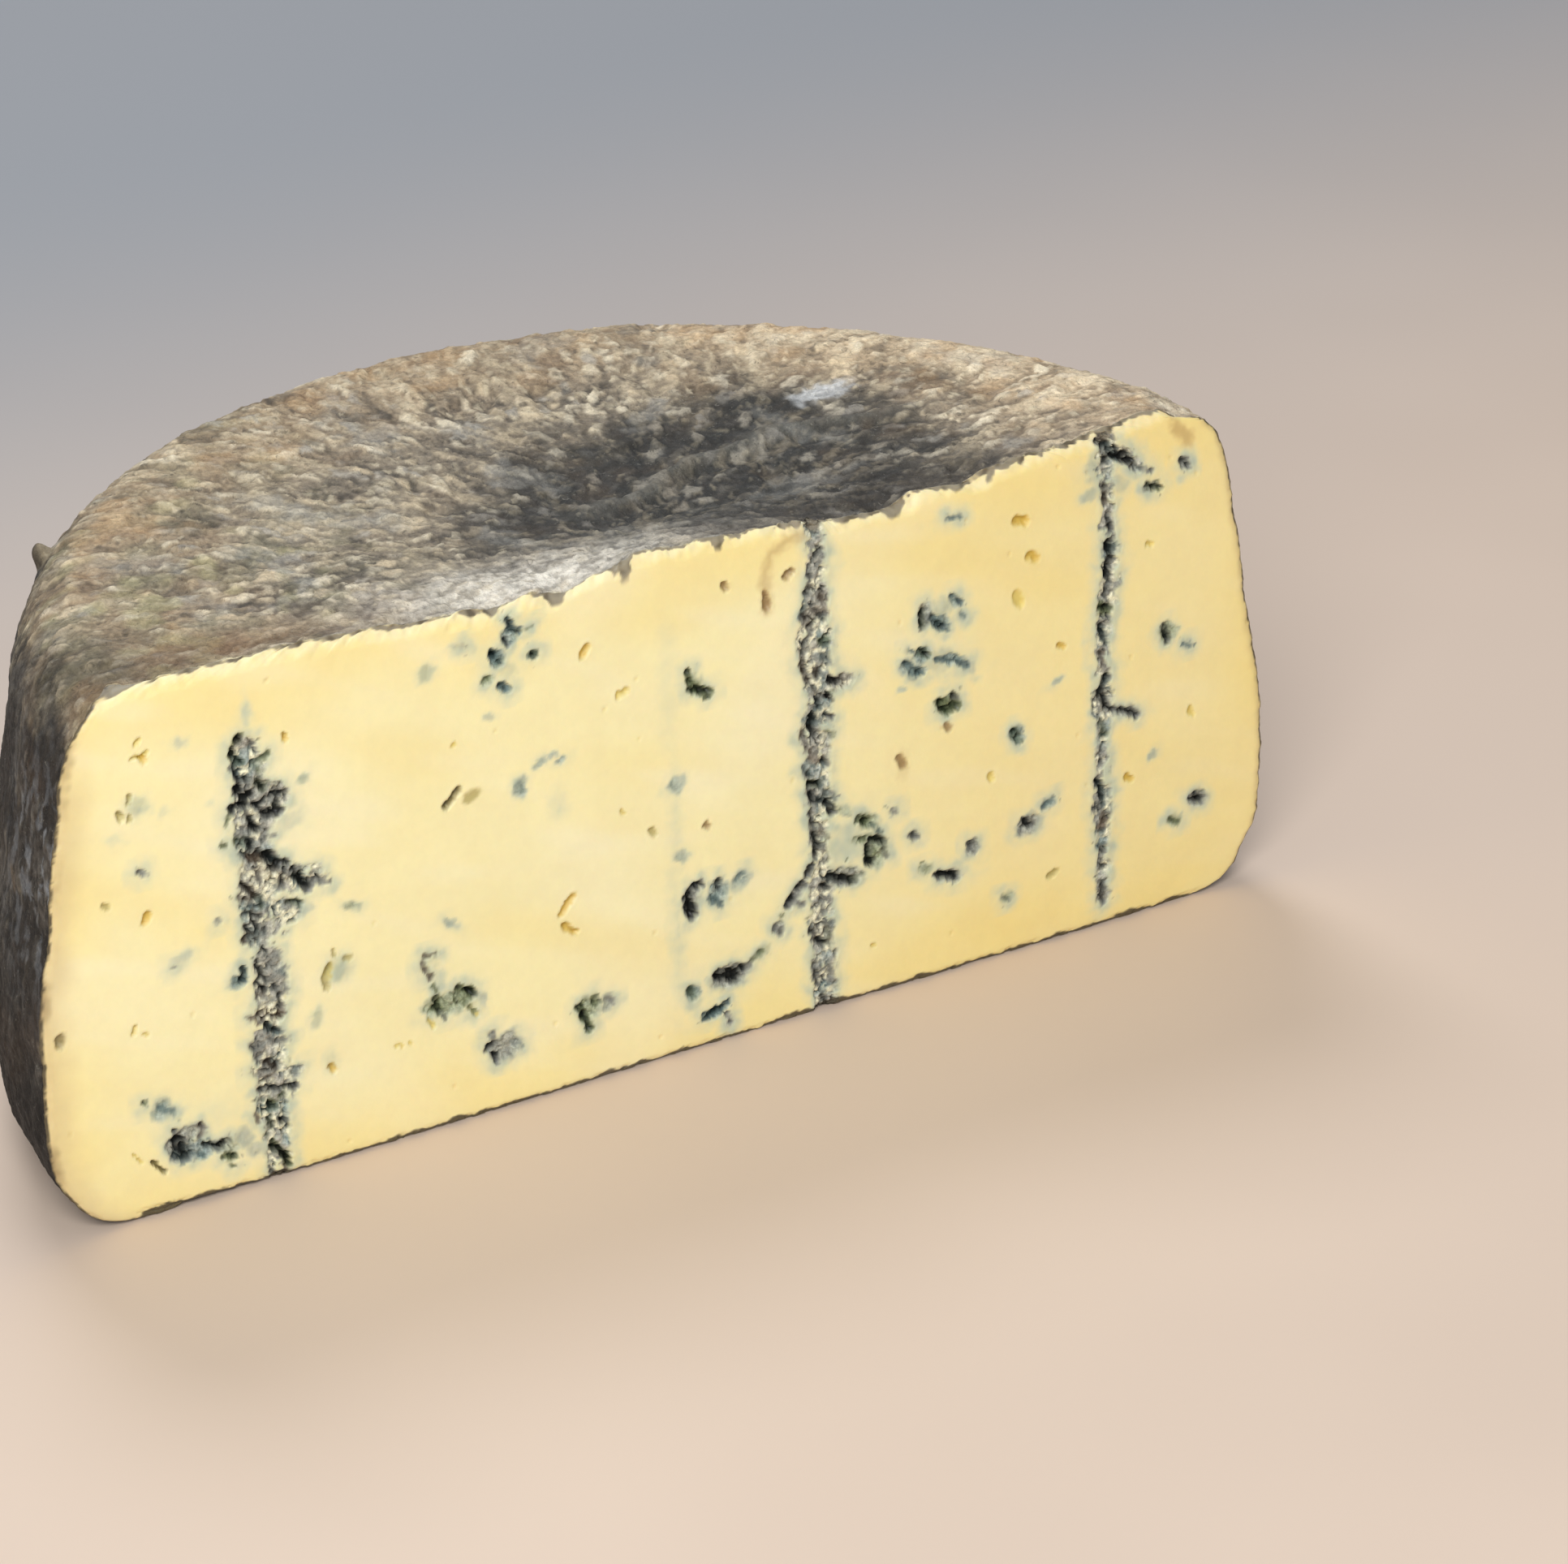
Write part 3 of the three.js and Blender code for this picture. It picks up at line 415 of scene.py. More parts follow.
# Brown stains of dried whey: (half width, strength, points)
BROWNS = [
    (1.1, 0.42, [(29.0, 111.6), (25.0, 110.8), (21.0, 108.6), (19.4, 104.6), (19.4, 100.4), (19.6, 96.6)]),
    (1.2, 0.16, [(51.6, 55.0), (52.0, 50.6)]), 
    (1.0, 0.5, [(-43.6, 114.6), (-41.4, 114.4)]), (1.2, 0.5, [(120.6, 113.6), (123.8, 111.0), (124.0, 109.4)]), (0.8, 0.22, [(-29.0, 111.6), (-26.8, 111.2)]),
]
# Rind drawn down over the cut's top edge: (x, half width, how far down)
HANGS = [
    (-124.0, 2.0, 0.8), (-108.0, 1.6, 0.7), (-86.0, 2.4, 0.6), (-62.0, 2.0, 0.6), (-48.0, 1.6, 0.9), (-42.6, 1.6, 1.6), (-28.4, 2.2, 2.2),
    (-12.8, 1.5, 5.0), (-14.6, 1.2, 2.2), (8.6, 1.4, 3.0), (13.0, 1.2, 1.0), (27.0, 2.4, 1.2), (31.4, 2.0, 3.0), (38.8, 2.2, 1.4), (44.0, 2.0, 1.0),
    (50.6, 2.6, 2.2), (66.0, 2.4, 1.8), (78.0, 2.6, 0.9), (94.0, 2.4, 0.8), (103.0, 1.8, 2.4), (122.0, 1.6, 1.8),
]
TONES = "ngbw"


def to_line(x, z, points):
    """Distance from points x, z to a line of points."""
    best = np.full(len(x), 99.0)
    for (x0, z0), (x1, z1) in zip(points[:-1], points[1:]):
        dx, dz = x1 - x0, z1 - z0
        t = np.clip(((x - x0) * dx + (z - z0) * dz) / (dx * dx + dz * dz), 0, 1)
        best = np.minimum(best, np.hypot(x - x0 - t * dx, z - z0 - t * dz))
    return best


def close_to(x, z, points, reach):
    xs, zs = [q[0] for q in points], [q[1] for q in points]
    return np.nonzero(
        (x > min(xs) - reach) & (x < max(xs) + reach) & (z > min(zs) - reach) & (z < max(zs) + reach)
    )[0]


def paint_face(x, z):
    """Height and colour masks of the cut face at points x, z (mm). Height is out of the face, below
    zero into the cheese."""
    n = len(x)
    p = np.stack([x, np.zeros(n), z], -1).astype(np.float32)
    flat = p[:, [0, 2, 1]]
    # ragged lookup positions
    wx = x + 0.8 * noise(p, 2.6, 11) + 0.45 * noise(p, 1.2, 12)
    wz = z + 0.8 * noise(p, 2.6, 13) + 0.45 * noise(p, 1.2, 14)
    fx = x + 0.42 * noise(p, 1.5, 15) + 0.26 * noise(p, 0.8, 16)
    fz = z + 0.42 * noise(p, 1.5, 17) + 0.26 * noise(p, 0.8, 18)
    rag = 0.42 * noise(p, 5.2, 20) + 0.38 * noise(p, 2.6, 21) + 0.26 * noise(p, 1.3, 22) + 0.12 * noise(p, 0.8, 23)

    # channels: 1 well inside, 0 outside
    vein = np.full(n, -9.0)
    reach = np.full(n, 99.0)
    for line in CHANNELS:
        for (x0, z0, r0), (x1, z1, r1) in zip(line[:-1], line[1:]):
            dx, dz = x1 - x0, z1 - z0
            k = close_to(x, z, [(x0, z0), (x1, z1)], 14)
            t = np.clip(((wx[k] - x0) * dx + (wz[k] - z0) * dz) / (dx * dx + dz * dz), 0, 1)
            d = np.hypot(wx[k] - x0 - t * dx, wz[k] - z0 - t * dz)
            r = r0 + (r1 - r0) * t
            vein[k] = np.maximum(vein[k], (r - d) / 2.0)
            reach[k] = np.minimum(reach[k], d - r)
    island = ramp(0.34, 0.62, noise(p, 3.4, 27) + 0.3 * noise(p, 1.5, 28))
    crumbly = ramp(-0.22, 0.34, vein + rag - 1.3 * island)
    tone = {c: np.zeros(n) for c in TONES}
    tone["n"] = crumbly * ramp(-0.5, 0.4, noise(p, 7.0, 29))
    tone["w"] = 0.6 * crumbly * ramp(0.15, 0.6, noise(p, 8.0, 30))
    tone["b"] = crumbly * ramp(0.05, 0.5, noise(p, 6.0, 31))
    # soft patches
    soft = np.zeros(n)
    for px, pz, hw, hh, turn, strength, colour in PATCHES:
        k = close_to(x, z, [(px, pz)], 14)
        c, s = math.cos(math.radians(turn)), math.sin(math.radians(turn))
        u = ((wx[k] - px) * c + (wz[k] - pz) * s) / hw
        v = (-(wx[k] - px) * s + (wz[k] - pz) * c) / hh
        d = np.sqrt(u * u + v * v) + 0.16 * rag[k]
        body = strength * ramp(1.45, 0.35, d)
        soft[k] = np.maximum(soft[k], body)
        tone[colour][k] = np.maximum(tone[colour][k], body)
        reach[k] = np.minimum(reach[k], (d - 1) * min(hw, hh) + (1 - strength) * 5)
    rough_soft = ramp(0.38, 0.62, soft + 0.10 * rag)
    inside = np.maximum(crumbly, rough_soft)

    # dark strokes where the curd has parted, ragged and broken
    mark = np.zeros(n)
    torn = 0.50 * noise(p, 1.9, 24) + 0.42 * noise(p, 1.05, 25) + 0.20 * noise(p, 0.6, 26)
    vary = np.clip(0.92 + 0.55 * noise(p, 1.7, 33) + 0.30 * noise(p, 0.9, 34), 0.35, 1.15)
    for half, strength, colour, points in MARKS:
        k = close_to(x, z, points, half + 3)
        d = to_line(fx[k], fz[k], points)
        body = strength * vary[k] * ramp(half + 0.55, half - 0.75, d + 0.8 * torn[k])
        mark[k] = np.maximum(mark[k], body)
        tone[colour][k] = np.maximum(tone[colour][k], 1.1 * body)
        reach[k] = np.minimum(reach[k], d - half)
    # smaller wriggling gaps between the crumbs
    q = np.stack([fx, np.zeros(n), fz], -1).astype(np.float32)
    worm = ramp(0.24, 0.06, np.abs(noise(q, 2.3, 47) + 0.45 * noise(q, 1.2, 48)))
    some = ramp(-0.1, 0.40, noise(p, 3.0, 49) + 0.1)
    speck = ramp(0.28, 0.48, noise(q, 1.25, 50))
    mark = np.maximum(mark, inside * (0.70 * worm * some + 0.46 * speck) * (0.55 + 0.45 * crumbly))
    # stray specks of mould just outside
    stray = 0.7 * ramp(0.46, 0.62, noise(q, 1.2, 51)) * ramp(2.6, 0.2, reach) * ramp(0.0, 0.4, noise(p, 5.0, 52) + 0.1)
    mark = np.maximum(mark, 0.55 * stray)

    # crumbs: rounded grains of curd between the gaps
    q2 = np.stack([wx, wz * 0.92, np.zeros(n)], -1).astype(np.float32)
    a1, a2, r1, r2, r3 = grains(q2, 2.5, 41, flat=True)
    b1, b2, s1, s2, s3 = grains(q2 + 50, 1.2, 42, flat=True)
    dome = np.clip(1 - a1 / 0.75, 0, 1)
    dome2 = np.clip(1 - b1 / 0.8, 0, 1)
    seam = ramp(0.20, 0.03, a2 - a1)
    height = -inside * (0.34 + 0.42 * r2 + 0.34 * seam - 0.30 * dome - 0.16 * dome2 + 0.16 * s2)
    height -= mark * (0.45 + 1.25 * mark + 0.5 * noise(p, 2.2, 32)) * (0.55 + 0.45 * ramp(0.3, 0.8, mark))
    # lifted, broken lips beside the gaps
    lip = ramp(1.5, 0.2, reach) * ramp(-1.0, 0.2, reach) * (1 - inside)
    height += 0.14 * lip * (0.4 + noise(p, 1.7, 43))

    # eyes and slits
    eye = {c: np.zeros(n) for c in "oygkb"}
    for half, depth, colour, points in EYES:
        k = close_to(x, z, points, half + 2.5)
        d = to_line(fx[k], fz[k], points) / half
        height[k] -= depth * ramp(1.35, 0.35, d)
        height[k] += 0.07 * ramp(2.4, 1.5, d) * ramp(1.0, 1.5, d)
        eye[colour][k] = np.maximum(eye[colour][k], ramp(1.75, 0.55, d))
    # pin-head openings scattered through the paste
    e1, e2, t1, t2, t3 = grains(flat + 7, 8.0, 61, flat=True)
    pit = (t1 < 0.08) * ramp(0.06 + 0.03 * t2, 0.02, e1)
    height -= 0.28 * pit * (1 - inside)

    # bloom round the mould, and needle traces
    halo = np.zeros(n)
    for px, pz, hw, hh, strength in STAINS:
        d = np.sqrt(((wx - px) / hw) ** 2 + ((wz - pz) / hh) ** 2)
        halo = np.maximum(halo, strength * ramp(1.3, 0.1, d + 0.25 * noise(p, 5.0, 71)))
    near = ramp(4.4, -0.6, reach + 1.5 * noise(p, 4.0, 72))
    halo = np.maximum(halo, near * (0.42 + 0.22 * noise(p, 6.0, 73)))
    halo = np.maximum(halo, 0.95 * soft)
    brown = np.zeros(n)
    for half, strength, points in BROWNS:
        k = close_to(x, z, points, half + 3)
        d = to_line(wx[k], wz[k], points)
        brown[k] = np.maximum(brown[k], strength * ramp(half + 1.3, half - 1.2, d + 0.5 * rag[k]))
    return dict(
        height=height, inside=inside, crumbly=crumbly, soft=soft, mark=mark, eye=eye, halo=halo, brown=brown, pit=pit,
        reach=reach, tone=tone, r2=r2, r3=r3, s2=s2, s3=s3, seam=seam, dome=dome,
    )


def paste_surface(x, z):
    """The knife's slow waves, drag lines and smears on the cut face."""
    n = len(x)
    p = np.stack([x, np.zeros(n), z], -1).astype(np.float32)
    tilt = np.stack([x * 0.94 - z * 0.34, np.zeros(n), x * 0.34 + z * 0.94], -1).astype(np.float32)
    long = tilt * np.array([0.30, 1, 1], np.float32)
    wave = 0.42 * noise(p, 62.0, 81) + 0.18 * noise(long, 15.0, 82) + 0.055 * noise(long, 6.5, 83)
    drag = 0.020 * noise(tilt * np.array([0.10, 1, 1], np.float32), 1.6, 84)
    drag += 0.016 * noise(p * np.array([1, 1, 0.08], np.float32), 1.8, 85) * ramp(-0.2, 0.5, noise(p, 30.0, 86))
    soft = 0.030 * noise(p, 4.2, 87) + 0.010 * noise(p, 1.6, 88)
    return wave + drag + soft
# ---------------------------------------------------------------- colours
def lin(r, g, b):
    """Linear colour from 0 to 255 values."""
    c = np.array([r, g, b], float) / 255.0
    return np.where(c <= 0.04045, c / 12.92, ((c + 0.055) / 1.055) ** 2.4)


def blend(base, colour, amount):
    return base + (np.asarray(colour)[None, :] - base) * np.asarray(amount)[:, None]


def face_colour(x, z, f):
    n = len(x)
    p = np.stack([x, np.zeros(n), z], -1).astype(np.float32)
    tilt = np.stack([x * 0.94 - z * 0.34, np.zeros(n), x * 0.34 + z * 0.94], -1).astype(np.float32)
    # paste: cream, a little yellower towards the rind, with slow clouds and streaks along the knife
    col = np.tile(lin(250, 238, 184), (n, 1))
    edge = np.minimum(np.minimum(z, 117 - z), 146 - np.abs(x))
    col = blend(col, lin(249, 228, 154), 0.70 * ramp(24, 1, edge + 6 * noise(p, 22.0, 91)))
    col = blend(col, lin(251, 241, 200), 0.6 * ramp(-0.1, 0.7, noise(p, 38.0, 92)))
    col = blend(col, lin(247, 225, 148), 0.42 * ramp(0.0, 0.8, noise(tilt * np.array([0.35, 1, 1], np.float32), 17.0, 93)))
    col = blend(col, lin(252, 243, 208), 0.34 * ramp(0.0, 0.8, noise(tilt * np.array([0.25, 1, 1], np.float32), 7.0, 94)))
    # warmer and darker towards the right: partly a warmer paste, partly painted shade
    col = blend(col, lin(246, 218, 134), 0.42 * ramp(10, 95, x + 8 * noise(p, 30.0, 98)))
    # bloom
    halo = np.clip(f["halo"] * (0.95 + 0.30 * noise(p, 2.2, 95)), 0, 1)
    col = blend(col, lin(212, 218, 188), np.clip(1.9 * halo, 0, 0.85))
    col = blend(col, lin(150, 170, 164), np.clip(1.35 * halo - 0.30, 0, 0.66))
    col = blend(col, lin(168, 128, 74), f["brown"])
    # eyes
    col = blend(col, lin(204, 168, 40), 0.80 * f["eye"]["o"])
    col = blend(col, lin(212, 190, 84), 0.70 * f["eye"]["y"])
    col = blend(col, lin(170, 156, 88), 0.75 * f["eye"]["g"])
    col = blend(col, lin(96, 84, 36), 0.92 * f["eye"]["k"])
    col = blend(col, lin(138, 104, 60), 0.8 * f["eye"]["b"])
    col = blend(col, lin(222, 196, 112), 0.30 * f["pit"])
    # mouldy curd: grey-green, blue-grey or brownish, with pale crumbs
    t = f["tone"]
    total = np.maximum(sum(t.values()), 1e-4)[:, None]
    light = (
        lin(190, 188, 174) * t["n"][:, None] + lin(176, 182, 148) * t["g"][:, None]
        + lin(164, 178, 174) * t["b"][:, None] + lin(190, 182, 164) * t["w"][:, None]
    ) / total
    mid = (
        lin(134, 135, 127) * t["n"][:, None] + lin(112, 120, 88) * t["g"][:, None]
        + lin(104, 122, 120) * t["b"][:, None] + lin(122, 112, 98) * t["w"][:, None]
    ) / total
    deep = (
        lin(36, 38, 36) * t["n"][:, None] + lin(38, 46, 28) * t["g"][:, None]
        + lin(30, 44, 44) * t["b"][:, None] + lin(62, 50, 38) * t["w"][:, None]
    ) / total
    crumb = light + (mid - light) * (ramp(0.30, 0.85, f["r3"]) * 0.75 + 0.25 * ramp(0.5, 0.9, f["s3"]))[:, None]
    pale = ramp(0.30, 0.54, f["r2"] + 0.26 * noise(p, 1.6, 96) + 0.22 * noise(p, 6.5, 97)) * (1 - 0.45 * f["seam"])
    crumb = blend(crumb, lin(241, 237, 204), 0.94 * pale * f["crumbly"])
    crumb = blend(crumb, lin(206, 206, 190), 0.5 * ramp(0.6, 0.9, f["s2"]) * f["crumbly"])
    crumb = crumb + (mid - crumb) * (0.42 * f["seam"])[:, None]
    cover = np.maximum(f["crumbly"], ramp(0.16, 0.80, f["soft"]) * (0.80 + 0.2 * ramp(0.2, 0.7, f["r3"])))
    col = col + (crumb - col) * np.clip(cover, 0, 1)[:, None]
    # dark gaps
    m = np.clip(f["mark"], 0, 1)
    col = col + (mid - col) * ramp(0.05, 0.42, m)[:, None] * 0.92
    col = col + (deep - col) * ramp(0.34, 0.82, m)[:, None]
    col = blend(col, lin(17, 19, 17), 0.75 * ramp(0.80, 1.0, m))
    return np.clip(col, 0, 1)
# ---------------------------------------------------------------- rind
def unit_rows(v):
    return v / np.maximum(np.linalg.norm(v, axis=-1, keepdims=True), 1e-9)


def grid_normals(g):
    """Unit normals of a grid of points (rows, columns, 3), from its neighbours."""
    du = np.gradient(g, axis=1)
    dv = np.gradient(g, axis=0)
    return unit_rows(np.cross(du, dv))


def drawn_out(p, along, scale, seed, reach):
    """Noise smeared along a direction: the lie of the cloth and of the drying curd."""
    out = 0
    for t in (-1.0, -0.5, 0.0, 0.5, 1.0):
        out = out + noise(p + along * np.float32(t * reach), scale, seed)
    return out / 5 * 1.75


def rind_relief(p, nrm):
    """Relief and masks of the rind at points p (mm, from the wheel's axis) with outward normals."""
    n = len(p)
    p = p.astype(np.float32)
    radius = np.hypot(p[:, 0], p[:, 1])
    topness = ramp(0.45, 0.92, nrm[:, 2])
    # flattened curds lie along lines from the middle on top, and down the side
    out = unit_rows(np.stack([p[:, 0], p[:, 1] - 18, np.zeros(n)], -1))
    swirl = 0.9 * noise(p, 28.0, 101) + 0.55 * noise(p, 8.0, 100)
    c, s = np.cos(swirl), np.sin(swirl)
    along = np.stack([out[:, 0] * c - out[:, 1] * s, out[:, 0] * s + out[:, 1] * c, np.zeros(n)], -1)
    down = np.stack([np.zeros(n), np.zeros(n), np.ones(n)], -1)
    along = unit_rows(along * topness[:, None] + down * (1 - topness)[:, None]).astype(np.float32)
    warp = np.stack([noise(p, 5.0, 102), noise(p, 5.0, 103), noise(p, 5.0, 104)], -1)
    warp2 = np.stack([noise(p, 2.0, 105), noise(p, 2.0, 106), noise(p, 2.0, 107)], -1)
    q = p + 1.5 * warp + 0.8 * warp2
    a1, a2, r1, r2, r3 = grains(q, 4.2, 111, along=along, stretch=2.0)
    b1, b2, s1, s2, s3 = grains(q + 40, 2.4, 112, along=along, stretch=1.9)
    lens = ramp(0.74 + 0.40 * r1, 0.02, a1 * 1.45 + 0.16 * noise(p, 1.8, 113)) * ramp(0.22, 0.42, r2)
    small = ramp(0.60 + 0.30 * s1, 0.12, b1 * 1.4) * (s2 > 0.45)
    line = drawn_out(q, along, 1.8, 121, 3.6)
    broad = drawn_out(p + 0.8 * warp, along, 4.2, 122, 6.0)
    hair = ramp(0.17, 0.03, np.abs(drawn_out(q + 9, along, 3.0, 123, 4.2))) * ramp(-0.25, 0.35, noise(p, 9.0, 124))
    rough = fbm(p, 2.2, 2, 131)
    slow = fbm(p, 26.0, 2, 141)
    mid = fbm(p, 9.0, 2, 142)
    lumpy = topness * (0.75 + 0.25 * ramp(-0.4, 0.5, mid)) + (1 - topness) * (0.34 + 0.2 * ramp(0, 0.5, mid))
    relief = (
        lumpy * (0.58 * lens * (0.6 + 0.5 * r3) + 0.26 * small + 0.20 * line + 0.30 * broad - 0.28 * hair)
        + 0.24 * rough + 0.60 * slow + 0.42 * mid
    )
    # side wall: band marks from the hoop and shallow dents
    side = 1 - topness
    relief += side * (0.40 * noise(p * np.array([0.35, 0.35, 1], np.float32), 11.0, 151))
    dent = ramp(0.45, 0.8, noise(p, 18.0, 152))
    relief -= side * 0.9 * dent
    relief -= 1.0 * ramp(0.46, 0.72, noise(p, 11.0, 153)) * topness
    # folds of loose rind across the sunken middle
    x, y = p[:, 0], p[:, 1]
    ridge = y - (44 + 7 * np.sin((x - 20) / 17.0) + 3.0 * noise(p, 12.0, 154))
    fold = np.exp(-((ridge / 2.4) ** 2)) * ramp(-14, 4, x) * ramp(84, 62, x)
    relief += 1.3 * fold * topness - 0.9 * np.exp(-(((ridge + 5.5) / 3.0) ** 2)) * ramp(-14, 4, x) * ramp(84, 62, x) * topness
    return dict(
        relief=relief, lens=lens, small=small, line=line, broad=broad, hair=hair, rough=rough, slow=slow, mid=mid,
        r1=r1, r2=r2, r3=r3, s1=s1, s2=s2, s3=s3, topness=topness, radius=radius, fold=fold,
    )


def rind_colour(p, m):
    """Linear colour of the rind."""
    n = len(p)
    p = p.astype(np.float32)
    x, y, z = p[:, 0], p[:, 1], p[:, 2]
    top = m["topness"]
    # darkest in the sunken middle, partly the rind's own colour and partly painted shade of the hollow; warm and pale
    # round the rim, olive on the left
    d = np.sqrt(((x - 28) / 60) ** 2 + ((y - 37) / 41) ** 2)
    centre = ramp(1.20, 0.62, d + 0.22 * noise(p, 22.0, 201) + 0.16 * noise(p, 8.0, 202))
    rim = ramp(78, 118, m["radius"] + 12 * noise(p, 20.0, 203))
    left = ramp(-25, -95, x + 14 * noise(p, 30.0, 204))
    ground = np.tile(lin(138, 127, 110), (n, 1))
    ground = blend(ground, lin(176, 154, 124), 0.8 * rim)
    ground = blend(ground, lin(138, 136, 112), 0.6 * left * ramp(-0.3, 0.4, noise(p, 13.0, 205)))
    ground = blend(ground, lin(44, 45, 44), 0.97 * centre)
    shade = 1.15 * m["line"] + 0.9 * m["broad"] + 0.45 * m["rough"] + 0.45 * noise(p, 12.0, 214)
    ground = blend(ground, lin(204, 188, 158), 0.66 * ramp(0.0, 0.75, shade) * (1 - 0.72 * centre))
    ground = blend(ground, lin(66, 62, 57), 0.70 * ramp(-0.05, -0.80, shade) * (1 - 0.35 * rim))
    col = blend(ground, lin(44, 44, 42), 0.50 * m["hair"] * (0.75 - 0.35 * rim + 0.25 * centre))
    # flattened curds, cream to beige and grey
    kind = m["r3"][:, None]
    fleck = np.where(kind > 0.58, lin(229, 217, 190), np.where(kind > 0.24, lin(205, 188, 158), lin(170, 163, 150)))
    fleck = fleck + (lin(112, 109, 103) - fleck) * (0.80 * centre)[:, None]
    fleck = blend(fleck, lin(212, 186, 144), 0.35 * rim * ramp(-0.2, 0.4, noise(p, 16.0, 213)))
    amount = ramp(0.16, 0.86, m["lens"] + 0.28 * m["line"]) * (0.62 + 0.38 * ramp(0.4, 0.9, m["r1"]))
    amount *= 1 - 0.60 * centre * (m["r1"] < 0.62)
    col = col + (fleck - col) * np.clip(0.90 * amount, 0, 1)[:, None]
    col = blend(col, lin(216, 203, 174), 0.58 * ramp(0.2, 0.8, m["small"]) * ramp(0.4, 0.8, m["s3"]) * (1 - 0.70 * centre))
    col = blend(col, lin(66, 62, 56), 0.50 * ramp(0.2, 0.7, m["small"]) * (m["s3"] < 0.24))
    lit = ramp(52, 84, x) * ramp(10, 26, y) * ramp(1.15, 1.5, d + 0.15 * noise(p, 10.0, 215))
    col = blend(col, lin(222, 206, 176), 0.56 * lit * ramp(-0.6, 0.3, shade))
    # rust and tan by the rim, brown in places
    rust = ramp(0.12, 0.55, noise(p, 12.0, 206) + 0.3 * noise(p, 4.0, 207)) * (0.10 + 0.90 * rim)
    col = blend(col, lin(184, 146, 100), 0.34 * rust * top)
    col = blend(col, lin(126, 100, 76), 0.34 * ramp(0.25, 0.7, noise(p, 8.0, 208)) * (0.25 + 0.75 * rim))
    col = blend(col, lin(176, 172, 124), 0.34 * left * ramp(0.1, 0.6, noise(p, 7.0, 209)) * top)
    # pale grey bloom
    bloom = ramp(0.26, 0.66, noise(p, 16.0, 210) + 0.35 * noise(p, 3.5, 211) + 0.10 * left)
    col = blend(col, lin(168, 167, 160), 0.40 * bloom * (1 - 0.5 * rim) * (1 - 0.4 * centre))
    spot = np.exp(-(((x - 68) / 9) ** 2) - ((y - 60) / 4.5) ** 2)
    col = blend(col, lin(206, 208, 208), 0.75 * ramp(0.35, 0.8, spot + 0.3 * noise(p, 2.2, 212)))
    near = np.exp(-(((x + 30) / 34) ** 2) - ((y - 10) / 10) ** 2)
    col = blend(col, lin(234, 228, 214), 0.97 * near * (0.45 + 0.55 * ramp(-0.45, 0.25, m["rough"] + m["line"])))
    # the hollow kept dark where it meets the cut: partly the rind's own colour, partly painted shade
    near = np.exp(-(((x - 52) / 34) ** 2) - ((y - 9) / 8) ** 2)
    col = blend(col, lin(58, 52, 46), 0.80 * near * (0.55 + 0.45 * ramp(-0.3, 0.4, m["rough"])))
    near = np.exp(-(((x + 94) / 26) ** 2) - ((y - 11) / 8) ** 2)
    col = blend(col, lin(134, 104, 74), 0.62 * near)
    col = blend(col, lin(138, 136, 126), 0.32 * m["fold"] * top)
    col = col * (1 + 0.30 * ramp(35, 88, x) * (1 - 0.8 * centre))[:, None]
    near = np.exp(-(((x + 124) / 18) ** 2) - ((y - 14) / 20) ** 2)
    col = col * (1 - 0.50 * near)[:, None]

    # the side: dark, leathery, brown-grey with paler scuffs
    wall = np.tile(lin(70, 63, 55), (n, 1))
    wall = blend(wall, lin(42, 39, 35), 0.9 * ramp(-0.15, 0.6, noise(p, 15.0, 222) + 0.5 * m["line"]))
    wall = blend(wall, lin(96, 76, 56), 0.55 * ramp(0.0, 0.7, noise(p, 17.0, 223) + 0.4 * m["line"]))
    scuff = ramp(-0.10, 0.95, 0.75 * noise(p, 19.0, 224) + 0.35 * m["broad"] + 0.65 * m["line"] + 0.55 * m["rough"] + 0.3 * m["small"])
    wall = blend(wall, lin(118, 113, 104), 0.70 * scuff)
    wall = blend(wall, lin(160, 155, 144), 0.42 * ramp(0.25, 0.8, m["lens"]) * ramp(0.0, 0.5, noise(p, 12.0, 226)))
    wall = blend(wall, lin(30, 28, 26), 0.62 * m["hair"])
    wall = blend(wall, lin(30, 28, 26), 0.40 * ramp(0.2, 0.7, m["small"]) * (m["s3"] < 0.3))
    wall = blend(wall, lin(40, 31, 24), 0.8 * ramp(46, 4, z + 8 * noise(p, 14.0, 227)))
    wall = wall * (0.28 + 0.24 * ramp(20, 85, z + 9 * noise(p, 16.0, 229)) + 0.24 * scuff)[:, None]
    # paler, bluish streaks where the left wall was rubbed
    rubbed = ramp(-126, -136, x) * ramp(50, 4, y) * np.exp(-(((z - 78) / 20) ** 2))
    wall = blend(wall, lin(142, 146, 150), 0.60 * rubbed * ramp(-0.05, 0.35, noise(p, 5.0, 230) + 0.7 * m["line"]))
    t = ramp(0.22, 0.97, nrm_top(m) + 0.26 * noise(p, 11.0, 226) + 0.20 * noise(p, 3.6, 228) + 0.14 * (m["lens"] - 0.4))
    return wall + (col - wall) * t[:, None]


def nrm_top(m):
    return m["nz"]


# ---------------------------------------------------------------- the mesh
NX, NZ, NY = 680, 276, 190  # cells along the cut, up the cut, and back over the top
NA = NX + 2 * NY  # cells round the rim


def coons(front, back, left, right):
    """Grid of points between four edges that meet at their corners: front and back run left to right,
    left and right run front to back. Rows go front to back."""
    nu, nv = len(front), len(left)
    u = np.linspace(0, 1, nu)[None, :, None]
    v = np.linspace(0, 1, nv)[:, None, None]
    ruled = (1 - v) * front[None] + v * back[None] + (1 - u) * left[:, None] + u * right[:, None]
    corners = (
        (1 - u) * (1 - v) * front[0] + u * (1 - v) * front[-1] + (1 - u) * v * back[0] + u * v * back[-1]
    )
    return ruled - corners


